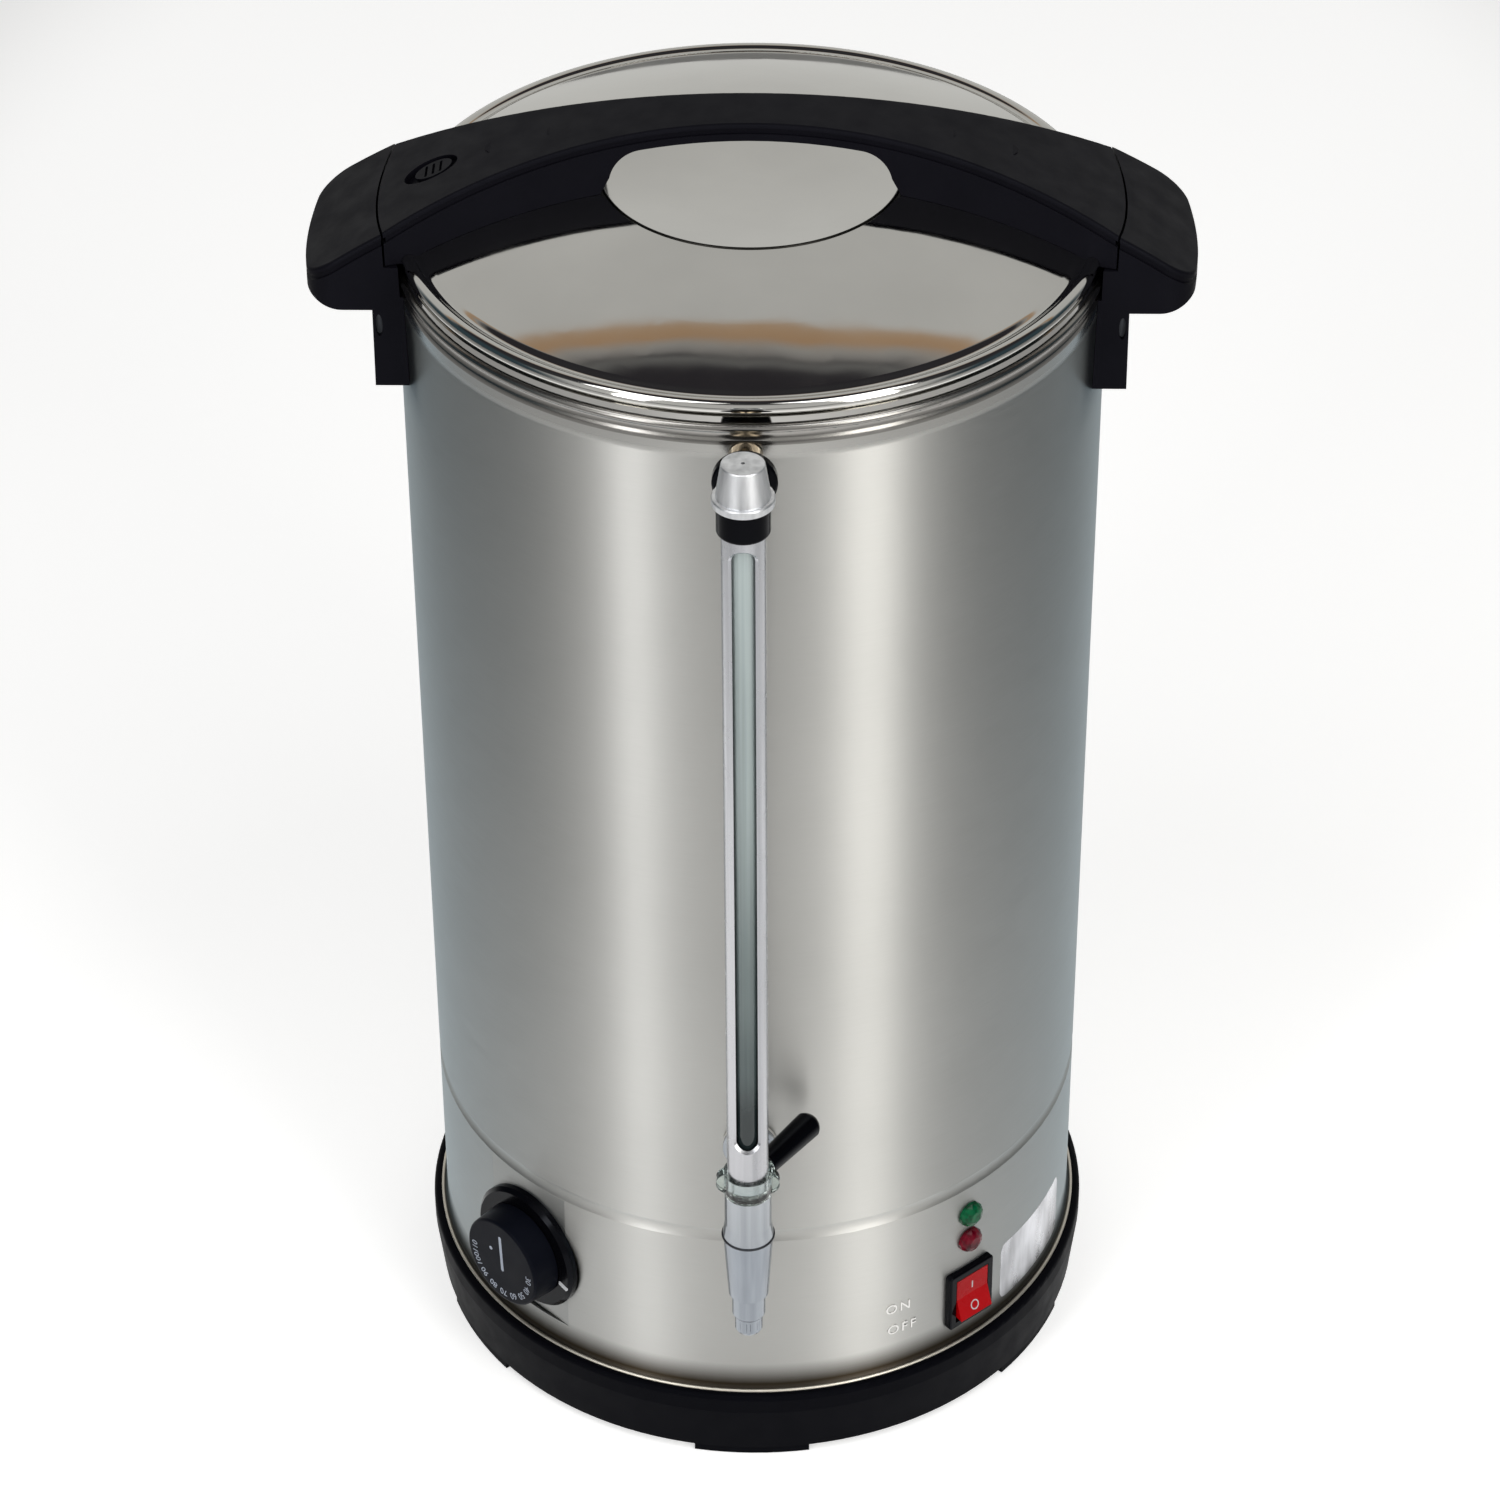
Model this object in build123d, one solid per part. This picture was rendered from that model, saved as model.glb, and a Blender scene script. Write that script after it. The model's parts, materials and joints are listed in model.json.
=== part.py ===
"""Hot water urn, about 30 litres, built as the separate pieces that it comes apart into.

Frame: millimetres, +Z up, origin on the tank's axis at the level that the feet stand on.
The tap column stands in front of the tank on the -Y side, and the side handles lie on the X axis.
Azimuths are in degrees from the tap column, positive towards +X.
"""
from build123d import *
from math import asin, cos, degrees, hypot, radians, sin, sqrt, tan
import os

# ---- fits -------------------------------------------------------------------------------------
RUNNING = 0.05            # radial clearance of a shaft that turns in its hole
SEAT = 0.1                # gap between pieces that are fixed together
FREE = 0.35               # gap between pieces that move past each other

# ---- base -------------------------------------------------------------------------------------
BASE_HEIGHT = 39.0
BASE_OVERHANG = 6.6       # how far the base stands out past the tank at its widest
BASE_TAPER = 2.8          # how much narrower it is at its foot
BASE_WALL = 3.2
BASE_EDGE = 2.6           # rounding of its upper edge
FOOT_HEIGHT = 4.5
FOOT_COUNT = 6
FOOT_ANGLE = 20.0         # arc that one foot covers
FOOT_WIDTH = 9.0
LEDGE_WIDTH = 9.0         # shelf that the tank's lower edge stands on
LEDGE_THICKNESS = 3.0
FLANGE_WIDTH = 12.6       # of the flange that holds the bottom cover
FLANGE_THICKNESS = 3.0
COVER_RECESS = 3.5        # from the feet's hollow up to the flange
COVER_THICKNESS = 2.0
COVER_SCREW_INSET = 7.1   # from the inside of the base's wall
COVER_SCREW_RADIUS = 2.0
COVER_SCREW_HEAD = (3.6, 2.0)     # radius and height
COVER_SCREW_LENGTH = 7.0
VENT_RADII = (60.0, 80.0, 100.0)
VENT_WIDTH = 4.0
VENT_ANGLE = 38.0
VENT_COUNT = 6
STUD_INSET = 22.0         # from the tank's wall to the studs that clamp it to the base
STUD_RADIUS = 3.0
STUD_COUNT = 3
LUG_RADIUS = 9.0
LUG_THICKNESS = 6.0
NUT_THICKNESS = 4.0

# ---- tank -------------------------------------------------------------------------------------
TANK_RADIUS = 150.0       # outside of the steel wall
TANK_HEIGHT = 528.7       # from the wall's lower edge to the top of the rolled rim
SHEET = 1.0               # thickness of the wall and of the floor pan
LIP_SINK = 0.9            # how far the wall's lower edge sits inside the base
LIP_FLARE = 2.4           # how far the lower edge flares out
LIP_RISE = 7.0            # height over which it flares
BEAD_RISE = 95.4          # from the lower edge to the rolled groove that carries the floor pan
BEAD_WIDTH = 7.0
BEAD_DEPTH = 1.1
CURL_RADIUS = 1.9
CURL_OVERHANG = 0.8       # how far the rolled rim stands out past the wall
NECK_WIDTH = 4.4          # groove under the rolled rim
NECK_DEPTH = 1.4
FLAT_AZIMUTH = -43.9      # pressed flat that carries the thermostat
FLAT_CHORD = 48.0
FLAT_RISE = 13.9          # from the lower edge to the flat
PAN_RIM = 9.0             # height of the floor pan's turned-up edge
PAN_CORNER = 5.0

# ---- heating ----------------------------------------------------------------------------------
SPREADER_RADIUS = 88.0
SPREADER_THICKNESS = 4.0
BOIL_RING_RADIUS = 66.0
BOIL_TUBE_RADIUS = 4.25
WARM_RING_RADIUS = 38.0
WARM_TUBE_RADIUS = 3.25
RING_GAP_ANGLE = 36.0     # opening of each element ring, at the back
TERMINAL_DROP = 22.0
TERMINAL_LENGTH = 8.0
CUTOUT_RADIUS = 12.0
CUTOUT_HEIGHT = 11.0
BULB_RADIUS = 3.0
BULB_LENGTH = 46.0
BULB_OFFSET = 52.0        # distance of the bulb from the tank's axis, between the two rings
CAPILLARY_RADIUS = 1.0
CAPILLARY_RISE = 6.5      # of the tube over the thermostat's body before it turns inwards

# ---- thermostat -------------------------------------------------------------------------------
THERMOSTAT_RISE = 50.4    # from the wall's lower edge to the spindle
DIAL_PLATE_RADIUS = 31.3
DIAL_PLATE_THICKNESS = 4.6
DIAL_PLATE_BEVEL = 1.8
KNOB_RADIUS = 23.6
KNOB_HEIGHT = 13.5
KNOB_TAPER = 0.9
KNOB_GAP = 0.5
KNOB_SHELL = 2.2
KNOB_WEB = 1.4
SPINDLE_RADIUS = 3.0
SPINDLE_FLAT = 1.0
SPINDLE_DEPTH = 13.0      # of the spindle inside the body
BODY_WIDTH = 34.0
BODY_HEIGHT = 40.0
BODY_DEPTH = 20.0
PLATE_SCREW_SPACING = 28.0
PLATE_SCREW_RADIUS = 2.0
PLATE_SCREW_HEAD = (3.6, 1.8)     # radius and height
PLATE_SCREW_LENGTH = 10.0
TAB_WIDTH = 6.4           # push-on terminals of every control
TAB_THICKNESS = 0.8
TAB_LENGTH = 8.0

# ---- switch and lamps -------------------------------------------------------------------------
PANEL_AZIMUTH = 41.6
SWITCH_RISE = 28.4        # from the wall's lower edge to the rocker's pivot
BEZEL_WIDTH = 26.6
BEZEL_HEIGHT = 32.4
BEZEL_PROUD = 3.2
BEZEL_FRAME = 3.4         # width of the frame round the rocker
THROAT_WALL = 1.6
SWITCH_BODY_DEPTH = 24.0
ROCKER_GAP = 0.4
ROCKER_SWING = 1.5        # shortening of each half so that it clears the frame as it swings
ROCKER_TILT = 9.0         # lean of the rocker each side of level
ROCKER_DEPTH = 9.0
ROCKER_PIN_RADIUS = 1.5
LAMP_RISES = {"lamp_green": 76.3, "lamp_red": 60.7}
LAMP_RADIUS = 6.4
LAMP_PROUD = 4.6
LAMP_RIM = 1.6
LAMP_NECK_RADIUS = 4.9
LAMP_LENGTH = 20.0
LAMP_CLIP_THICKNESS = 2.0

# ---- supply -----------------------------------------------------------------------------------
GLAND_RISE = 23.9
GLAND_BORE_RADIUS = 4.1
GLAND_NECK_RADIUS = 6.2
GLAND_NECK_LENGTH = 12.0
GLAND_FLANGE_RADIUS = 11.0
GLAND_FLANGE_THICKNESS = 4.0
TERMINAL_BLOCK = (44.0, 20.0, 16.0)
TERMINAL_BLOCK_RISE = 22.0    # of the block over the gland's axis
TERMINAL_BLOCK_GAP = 6.0      # from the wall

# ---- tap column -------------------------------------------------------------------------------
COLUMN_STANDOFF = 48.0    # from the tank wall to the column's axis
SHANK_RISE = 52.0         # of the tap's shank over the floor pan
SHANK_RADIUS = 8.0
SHANK_BORE = 3.5
SHANK_FLANGE_RADIUS = 12.0
BARREL_LENGTHS = (10.0, 14.0)     # of the barrel under and over the shank's axis
BARREL_RADIUS = 10.3
BARREL_FLARE = 0.9
ROTOR_RADIUS = 8.2
ROTOR_BORE = 6.3
ROTOR_FLOOR = 3.0
PORT_RADIUS = 2.4
PORT_OFFSET = 4.0
SEAT_DISC_THICKNESS = 2.0
RING_HEIGHT = 11.5        # of the clear turning ring
RING_RADIUS = 10.6
EAR_RADIUS = 5.4
EAR_REACH = 8.4
EAR_THICKNESS = 5.0
LEVER_AZIMUTH = 145.0     # closed position, from the front round towards +X
LEVER_REACH = 49.0
LEVER_ROOT = 12.5
LEVER_RADIUS = (5.3, 6.2)
LEVER_CORE_RADIUS = 2.0
SPOUT_LENGTH = 55.7
SPOUT_TOP_RADIUS = 11.0
SPOUT_WAIST_RADIUS = 8.9
SPOUT_TAPER_LENGTH = 33.2
NOZZLE_RADIUS = 7.4
NOZZLE_LENGTH = 12.0
TIP_RADIUS = 6.2
SPOUT_BORE = 4.0
SPOUT_SEAL_RADIUS = 11.7
SPOUT_SEAL_THICKNESS = 1.2
GLASS_RADIUS = 6.0
GLASS_WALL = 1.1
GUARD_RADIUS = 8.6
GUARD_WALL = 1.1
GUARD_SINK = (6.15, 9.0)  # of the guard in the clear ring and in the collar
GLASS_SINK = 16.0         # of the glass under the barrel's top
SLOT_WIDTH = 9.4
SLOT_ENDS = (17.3, 18.9)  # from the guard's ends to the slot
COLLAR_RADIUS = 10.9
COLLAR_LENGTHS = (3.4, 10.2)      # of the collar under and over its arm's axis
COLLAR_BOSS_RADIUS = 9.9
COLLAR_BOSS_LENGTH = 33.0
COLLAR_FLANGE_RADIUS = 13.2
COLLAR_FLANGE_LENGTH = 5.0
BRACKET_DROP = 14.4       # from the rim's top to the bracket stud
BRACKET_RADIUS = 7.2
BRACKET_THREAD = 4.0
BRACKET_GRIP = 10.0       # of its thread in the collar's arm
CAP_FLANGE_RADIUS = 12.6
CAP_FLANGE_THICKNESS = 3.4
CAP_BASE_RADIUS = 11.5
CAP_TOP_RADIUS = 8.7
CAP_HEIGHT = 18.1
CAP_VENT_RADIUS = 0.8

# ---- lid --------------------------------------------------------------------------------------
LID_INSET = 0.6           # of the lid's edge from the tank's outer line
HEM_RADIUS = 3.2
HEM_LIFT = 3.6            # from the rim's top to the underside of the hem
GUTTER_INSET = 7.2        # from the lid's edge to the bottom of its gutter
GUTTER_DROP = 1.4
DOME_INSET = 9.8          # from the lid's edge to the foot of the dome
DOME_LIFT = 0.2           # of the dome's foot over the top of the hem
DISH_RADIUS = 63.3
DOME_RISE = 19.6
DOME_CROWN = 2.2          # how far the dome's line bows out of a straight cone
DISH_DEPTH = 7.0
LID_SHEET = 1.0
SKIRT_INSET = 4.4         # from the tank's outer line to the ring that centres the lid
SKIRT_DEPTH = 9.4
SKIRT_FOOT = 1.2          # thickness of the lip that holds the seal
SEAL_HEIGHT = 3.7
SEAL_THICKNESS = 0.8

# ---- lid handle and side handles --------------------------------------------------------------
BAR_RISE = 29.6           # of the arch's top over the dish's edge
ARCH_DROP = 41.1          # of the arch from its top to the ends of the lid handle
WAIST_HALF_DEPTH = 13.8   # half the bar's depth in the middle, at the top
END_HALF_DEPTH = 34.6     # the same at its ends, at the level of the arch's top
FLANK_DRAFT = 5.0         # lean of the long flanks
BAR_OVERHANG = 6.4        # of the lid handle's ends past the tank wall
BAR_END_LIFT = 2.7        # of the lid handle's ends over the hem's underside
HANDLE_WALL = 3.2
HANDLE_EDGE = 1.6
GROOVE_DROPS = (1.9, 4.3)     # of the shadow groove's two edges under the arch
GROOVE_DEPTH = 1.1
GRIP_THICKNESS = 7.4      # of the bar in the middle
GRIP_HALF_WIDTHS = (67.0, 58.5, 46.0)
GRIP_DROPS = (30.8, 15.3, 3.4)    # of those three points under the grip's top
GRIP_BOW = (2.6, 1.2)     # how far the grip's corner bows out of a straight line
LID_BOSS_GRIP_GAP = 13.0      # from the end of the grip's opening to the inner screw bosses
LID_BOSS_RIM_INSET = 44.0     # from the tank's outer line to the outer ones
LID_BOSS_RADIUS = 5.0
LID_SCREW_RADIUS = 2.0
LID_SCREW_LENGTH = 12.0
LID_SCREW_HEAD = (3.8, 2.2)       # radius and height
SIDE_GAP = 0.9            # seam between the lid handle and a side handle
SIDE_LENGTH = 31.2        # of a side handle past the lid handle's end
SIDE_CORNER = 15.0
SIDE_BULGE = 4.5
SIDE_HALF_DEPTH = 35.2
SIDE_WALL = 3.4
SIDE_DROP = 13.8          # from the rim's top to the underside of a side handle
SIDE_LIP_RISE = 7.2       # of the underside at the outer face
SIDE_CURVE = 18.0         # length over which the underside rises
LEG_HEIGHT = 35.0
LEG_DEPTH = 7.6           # of a leg from the wall outwards
LEG_PLATE = 3.6
LEG_RIB = 3.2
LEG_NOTCH = (1.5, 5.0)
HANDLE_SCREW_Y = 18.0
HANDLE_SCREW_RISE = 16.0
HANDLE_SCREW_RADIUS = 2.0
HANDLE_SCREW_HEAD = (4.6, 2.8)    # radius and height
HANDLE_SCREW_LENGTH = 14.0
BACKING_WIDTH = 58.0
BACKING_HEIGHT = 16.0
BACKING_THICKNESS = 1.5

# ---- lid lock ---------------------------------------------------------------------------------
LOCK_INSET = 22.2             # from the lid handle's end to the middle of the recess
LOCK_RECESS = (12.5, 8.4)     # half axes of the oval recess
LOCK_KNOB = (8.6, 6.0)
LOCK_RECESS_DEPTH = 3.0
LOCK_REST = 1.2               # how far the knob sits towards the middle of the lid at rest
LOCK_TRAVEL = 3.6
LOCK_TONGUE_WIDTH = 13.0
LOCK_TONGUE_THICKNESS = 2.0
LOCK_TONGUE_DEPTH = 7.6       # of the tongue's upper face under the arch
LOCK_STEM = (7.0, 5.0)
LOCK_RIB_WIDTH = 1.2
LOCK_RIB_PITCH = 3.4

# ---- what follows from the sizes above --------------------------------------------------------
LIP_Z = BASE_HEIGHT - LIP_SINK
BASE_TOP_RADIUS = TANK_RADIUS + BASE_OVERHANG
BASE_FOOT_RADIUS = BASE_TOP_RADIUS - BASE_TAPER
FLANGE_Z = FOOT_HEIGHT + COVER_RECESS
FLANGE_RADIUS = BASE_FOOT_RADIUS - BASE_WALL - FLANGE_WIDTH
COVER_SCREW_CIRCLE = BASE_FOOT_RADIUS - BASE_WALL - COVER_SCREW_INSET
STUD_CIRCLE = TANK_RADIUS - STUD_INSET
BEAD_Z = LIP_Z + BEAD_RISE
INNER_RADIUS = TANK_RADIUS - SHEET
FLAT_DISTANCE = sqrt(TANK_RADIUS**2 - (FLAT_CHORD / 2) ** 2)
FLAT_Z = (LIP_Z + FLAT_RISE, BEAD_Z - BEAD_WIDTH / 2 - 0.4)
PAN_Z = BEAD_Z + BEAD_WIDTH / 2 + SHEET
PAN_RADIUS = INNER_RADIUS - SEAT
SPREADER_TOP = PAN_Z - SHEET
SPREADER_BOTTOM = SPREADER_TOP - SPREADER_THICKNESS
RIM_TOP_Z = LIP_Z + TANK_HEIGHT
CURL_Z = RIM_TOP_Z - CURL_RADIUS
CURL_CENTRE = TANK_RADIUS + CURL_OVERHANG - CURL_RADIUS
THERMOSTAT_Z = LIP_Z + THERMOSTAT_RISE
KNOB_FACE = DIAL_PLATE_THICKNESS + KNOB_GAP + KNOB_HEIGHT
SWITCH_Z = LIP_Z + SWITCH_RISE
LAMP_Z = {name: LIP_Z + rise for name, rise in LAMP_RISES.items()}
ROCKER_WIDTH = BEZEL_WIDTH - 2 * BEZEL_FRAME
ROCKER_HEIGHT = BEZEL_HEIGHT - 2 * BEZEL_FRAME
ROCKER_PIVOT = BEZEL_PROUD - ROCKER_DEPTH / 2 - 1.5
GLAND_Z = LIP_Z + GLAND_RISE
COLUMN_Y = -(TANK_RADIUS + COLUMN_STANDOFF)
SHANK_Z = PAN_Z + SHANK_RISE
BARREL_Z = (SHANK_Z - BARREL_LENGTHS[0], SHANK_Z + BARREL_LENGTHS[1])
RING_TOP_Z = BARREL_Z[1] + RING_HEIGHT
LEVER_Z = (BARREL_Z[1] + FREE + RING_TOP_Z) / 2
SPOUT_TOP_Z = BARREL_Z[0] - SPOUT_SEAL_THICKNESS - SEAT
SPOUT_TIP_Z = SPOUT_TOP_Z - SPOUT_LENGTH
SPOUT_WAIST_Z = SPOUT_TOP_Z - SPOUT_TAPER_LENGTH
NOZZLE_Z = SPOUT_WAIST_Z - NOZZLE_LENGTH
STUD_BRACKET_Z = RIM_TOP_Z - BRACKET_DROP
COLLAR_Z = (STUD_BRACKET_Z - COLLAR_LENGTHS[0], STUD_BRACKET_Z + COLLAR_LENGTHS[1])
GUARD_Z = (RING_TOP_Z - GUARD_SINK[0], COLLAR_Z[0] + GUARD_SINK[1])
GLASS_Z = (BARREL_Z[1] - GLASS_SINK, GUARD_Z[1] - 2)
SLOT_Z = (GUARD_Z[0] + SLOT_ENDS[0], GUARD_Z[1] - SLOT_ENDS[1])
LID_RADIUS = TANK_RADIUS - LID_INSET
HEM_CENTRE = LID_RADIUS - HEM_RADIUS
HEM_BOTTOM = RIM_TOP_Z + HEM_LIFT
HEM_Z = HEM_BOTTOM + HEM_RADIUS
GUTTER_RADIUS = LID_RADIUS - GUTTER_INSET
DOME_RADIUS = LID_RADIUS - DOME_INSET
DOME_START_Z = HEM_Z + HEM_RADIUS + DOME_LIFT
DISH_EDGE_Z = DOME_START_Z + DOME_RISE
SKIRT_RADIUS = TANK_RADIUS - SKIRT_INSET
SKIRT_INNER = SKIRT_RADIUS - LID_SHEET
SEAL_BORE = SKIRT_RADIUS + FREE
SEAL_LOW = HEM_BOTTOM - SKIRT_DEPTH + SKIRT_FOOT + FREE
ARCH_TOP_Z = DISH_EDGE_Z + BAR_RISE
HANDLE_END_RADIUS = TANK_RADIUS + BAR_OVERHANG
HANDLE_END_Z = HEM_BOTTOM + BAR_END_LIFT
ARCH_RADIUS = (HANDLE_END_RADIUS**2 + ARCH_DROP**2) / (2 * ARCH_DROP)
ARCH_CENTRE_Z = ARCH_TOP_Z - ARCH_RADIUS
GRIP_TOP_Z = ARCH_TOP_Z - GRIP_THICKNESS
LID_BOSS_X = (GRIP_HALF_WIDTHS[0] + LID_BOSS_GRIP_GAP, TANK_RADIUS - LID_BOSS_RIM_INSET)
SIDE_SEAM_RADIUS = HANDLE_END_RADIUS + SIDE_GAP
SIDE_REACH = HANDLE_END_RADIUS + SIDE_LENGTH
SIDE_BOTTOM_Z = RIM_TOP_Z - SIDE_DROP
LEG_BOTTOM_Z = SIDE_BOTTOM_Z - LEG_HEIGHT
LEG_OUTER_X = TANK_RADIUS + LEG_DEPTH
HANDLE_SCREW_Z = LEG_BOTTOM_Z + HANDLE_SCREW_RISE
LOCK_X = -(HANDLE_END_RADIUS - LOCK_INSET)
MIN = (Align.CENTER, Align.CENTER, Align.MIN)


# ---- shared helpers ---------------------------------------------------------------------------
def disc(radius, low, high):
    """A cylinder about the Z axis between two heights."""
    return Pos(0, 0, low) * Cylinder(radius, high - low, align=MIN)


def ring(outer, inner, low, high):
    return disc(outer, low, high) - disc(inner, low, high)


def cone(low_radius, high_radius, low, high):
    return Pos(0, 0, low) * Cone(low_radius, high_radius, high - low, align=MIN)


def turned(*edges):
    """A solid of revolution about Z from edges drawn as (radius, height)."""
    return revolve(Plane.XZ * make_face(edges), Axis.Z)


def path(*points):
    """Straight edges through points, one after the other."""
    return [Line(a, b) for a, b in zip(points, points[1:])]


def block(x, y, z):
    """A box between two limits on each axis."""
    size = [high - low for low, high in (x, y, z)]
    return Pos(x[0], y[0], z[0]) * Box(*size, align=(Align.MIN, Align.MIN, Align.MIN))


def radial(azimuth, z, distance):
    """A plane whose Z points away from the tank at an azimuth, with Y up and X along the wall."""
    a = radians(azimuth)
    return Plane(
        origin=(distance * sin(a), -distance * cos(a), z),
        x_dir=(cos(a), sin(a), 0),
        z_dir=(sin(a), -cos(a), 0),
    )


def around(count, shape, start=0.0):
    """Copies of a shape turned about the Z axis."""
    return [Rot(0, 0, start + i * 360 / count) * shape for i in range(count)]


def group(shapes):
    """Several separate solids in one node."""
    return Part() + list(shapes)


def column(shape):
    """Moves a shape from the Z axis to the tap column's axis."""
    return Pos(0, COLUMN_Y, 0) * shape


def hexagon(radius, low, high):
    """A hexagonal prism about Z, by its radius across the corners, with two flats across Y."""
    return extrude(Pos(0, 0, low) * RegularPolygon(radius, 6), high - low)


def arch_z(x, radius=ARCH_RADIUS):
    """Height of the handles' long arch at a distance from the middle."""
    return ARCH_CENTRE_Z + sqrt(radius**2 - x**2)


def spread(z):
    """How much further out the drafted flanks stand at a height than at the arch's top."""
    return (ARCH_TOP_Z - z) * tan(radians(FLANK_DRAFT))


# ---- tank -------------------------------------------------------------------------------------
def wall_solid(inset):
    """All that lies inside the wall's outer line moved in by an inset, with the pressed flat."""
    r = TANK_RADIUS - inset
    bead_low, bead_high = BEAD_Z - BEAD_WIDTH / 2, BEAD_Z + BEAD_WIDTH / 2
    neck_high = CURL_Z - CURL_RADIUS / 2
    neck_low = neck_high - NECK_WIDTH
    lip = (r + LIP_FLARE, LIP_Z)
    solid = turned(
        Line((0, LIP_Z), lip),
        TangentArc((r, LIP_Z + LIP_RISE), lip, tangent=(0, -1)),
        Line((r, LIP_Z + LIP_RISE), (r, bead_low)),
        ThreePointArc((r, bead_low), (r - BEAD_DEPTH, BEAD_Z), (r, bead_high)),
        Line((r, bead_high), (r, neck_low)),
        ThreePointArc((r, neck_low), (r - NECK_DEPTH, (neck_low + neck_high) / 2), (r, neck_high)),
        *path((r, neck_high), (r, CURL_Z), (0, CURL_Z), (0, LIP_Z)),
    )
    low, high = FLAT_Z
    beyond = Box(4 * FLAT_CHORD, high - low, TANK_RADIUS - FLAT_DISTANCE + SHEET, align=MIN)
    return solid - radial(FLAT_AZIMUTH, (low + high) / 2, FLAT_DISTANCE - inset) * beyond


def wall_hole(azimuth, z, radius):
    """A cutter for a round hole through the wall."""
    return radial(azimuth, z, TANK_RADIUS - 10) * Cylinder(radius, 20, align=MIN)


def tank_shell():
    shell = wall_solid(0) - wall_solid(SHEET)
    curl = Pos(0, 0, CURL_Z) * Torus(CURL_CENTRE, CURL_RADIUS)
    shell = shell + curl
    cuts = [
        wall_hole(0, SHANK_Z, SHANK_RADIUS + SEAT),
        wall_hole(0, STUD_BRACKET_Z, BRACKET_THREAD + SEAT),
        wall_hole(180, GLAND_Z, GLAND_NECK_RADIUS + SEAT),
        wall_hole(FLAT_AZIMUTH, THERMOSTAT_Z, SPINDLE_RADIUS + 1),
    ]
    cuts += [wall_hole(PANEL_AZIMUTH, z, LAMP_NECK_RADIUS + SEAT) for z in LAMP_Z.values()]
    for side in (-1, 1):
        screw = Pos(side * PLATE_SCREW_SPACING / 2, 0, 0) * Cylinder(PLATE_SCREW_RADIUS + SEAT, 20)
        cuts.append(radial(FLAT_AZIMUTH, THERMOSTAT_Z, FLAT_DISTANCE) * screw)
        for y in (-HANDLE_SCREW_Y, HANDLE_SCREW_Y):
            hole = Rot(0, 90, 0) * Cylinder(HANDLE_SCREW_RADIUS, 20)
            cuts.append(Pos(side * TANK_RADIUS, y, HANDLE_SCREW_Z) * hole)
    opening = Box(
        ROCKER_WIDTH + 2 * THROAT_WALL + 2 * SEAT, ROCKER_HEIGHT + 2 * THROAT_WALL + 2 * SEAT, 20
    )
    cuts.append(radial(PANEL_AZIMUTH, SWITCH_Z, TANK_RADIUS) * opening)
    return shell - cuts


def tank_floor():
    """The floor pan, pressed into the wall just above the rolled groove."""
    pan = disc(PAN_RADIUS, PAN_Z - SHEET, PAN_Z + PAN_RIM)
    hollow = disc(PAN_RADIUS - SHEET, PAN_Z, PAN_Z + PAN_RIM)
    hollow = fillet(hollow.edges().sort_by(Axis.Z)[0], PAN_CORNER - SHEET)
    return fillet(pan.edges().sort_by(Axis.Z)[0], PAN_CORNER) - hollow


# ---- base -------------------------------------------------------------------------------------
def base_ring():
    """The plastic ring with its shelf, its inner flange, its lugs and its feet."""
    bottom = FOOT_HEIGHT
    shelf = LIP_Z - SEAT
    lip_radius = TANK_RADIUS + LIP_FLARE + SEAT
    edge = BASE_EDGE
    shoulder = BASE_HEIGHT - edge
    shape = turned(
        *path((BASE_FOOT_RADIUS, bottom), (BASE_TOP_RADIUS, 0.75 * BASE_HEIGHT)),
        Line((BASE_TOP_RADIUS, 0.75 * BASE_HEIGHT), (BASE_TOP_RADIUS, shoulder)),
        ThreePointArc(
            (BASE_TOP_RADIUS, shoulder),
            (BASE_TOP_RADIUS - edge * 0.29, BASE_HEIGHT - edge * 0.29),
            (BASE_TOP_RADIUS - edge, BASE_HEIGHT),
        ),
        *path(
            (BASE_TOP_RADIUS - edge, BASE_HEIGHT),
            (lip_radius, BASE_HEIGHT),
            (lip_radius, shelf),
            (lip_radius - LEDGE_WIDTH, shelf),
            (lip_radius - LEDGE_WIDTH, shelf - LEDGE_THICKNESS),
            (BASE_TOP_RADIUS - BASE_WALL, shelf - LEDGE_THICKNESS),
            (BASE_FOOT_RADIUS - BASE_WALL, FLANGE_Z + FLANGE_THICKNESS),
            (FLANGE_RADIUS, FLANGE_Z + FLANGE_THICKNESS),
            (FLANGE_RADIUS, FLANGE_Z),
            (BASE_FOOT_RADIUS - BASE_WALL, FLANGE_Z),
            (BASE_FOOT_RADIUS - BASE_WALL, bottom),
            (BASE_FOOT_RADIUS, bottom),
        ),
    )
    foot = foot_pad()
    shape += around(FOOT_COUNT, foot)
    lug_z = FLANGE_Z, FLANGE_Z + LUG_THICKNESS
    lug = disc(LUG_RADIUS, *lug_z) + block((-LUG_RADIUS, LUG_RADIUS), (-20, 0), lug_z)
    lug = Pos(0, -STUD_CIRCLE, 0) * lug
    lug &= disc(BASE_FOOT_RADIUS - BASE_WALL / 2, *lug_z)
    shape += around(STUD_COUNT, lug)
    stud_hole = Pos(0, -STUD_CIRCLE, 0) * disc(STUD_RADIUS + SEAT, 0, BASE_HEIGHT)
    screw_hole = Pos(0, -COVER_SCREW_CIRCLE, 0) * disc(COVER_SCREW_RADIUS, 0, BASE_HEIGHT / 2)
    shape -= around(STUD_COUNT, stud_hole)
    return shape - around(FOOT_COUNT, screw_hole, start=180 / FOOT_COUNT)


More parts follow.
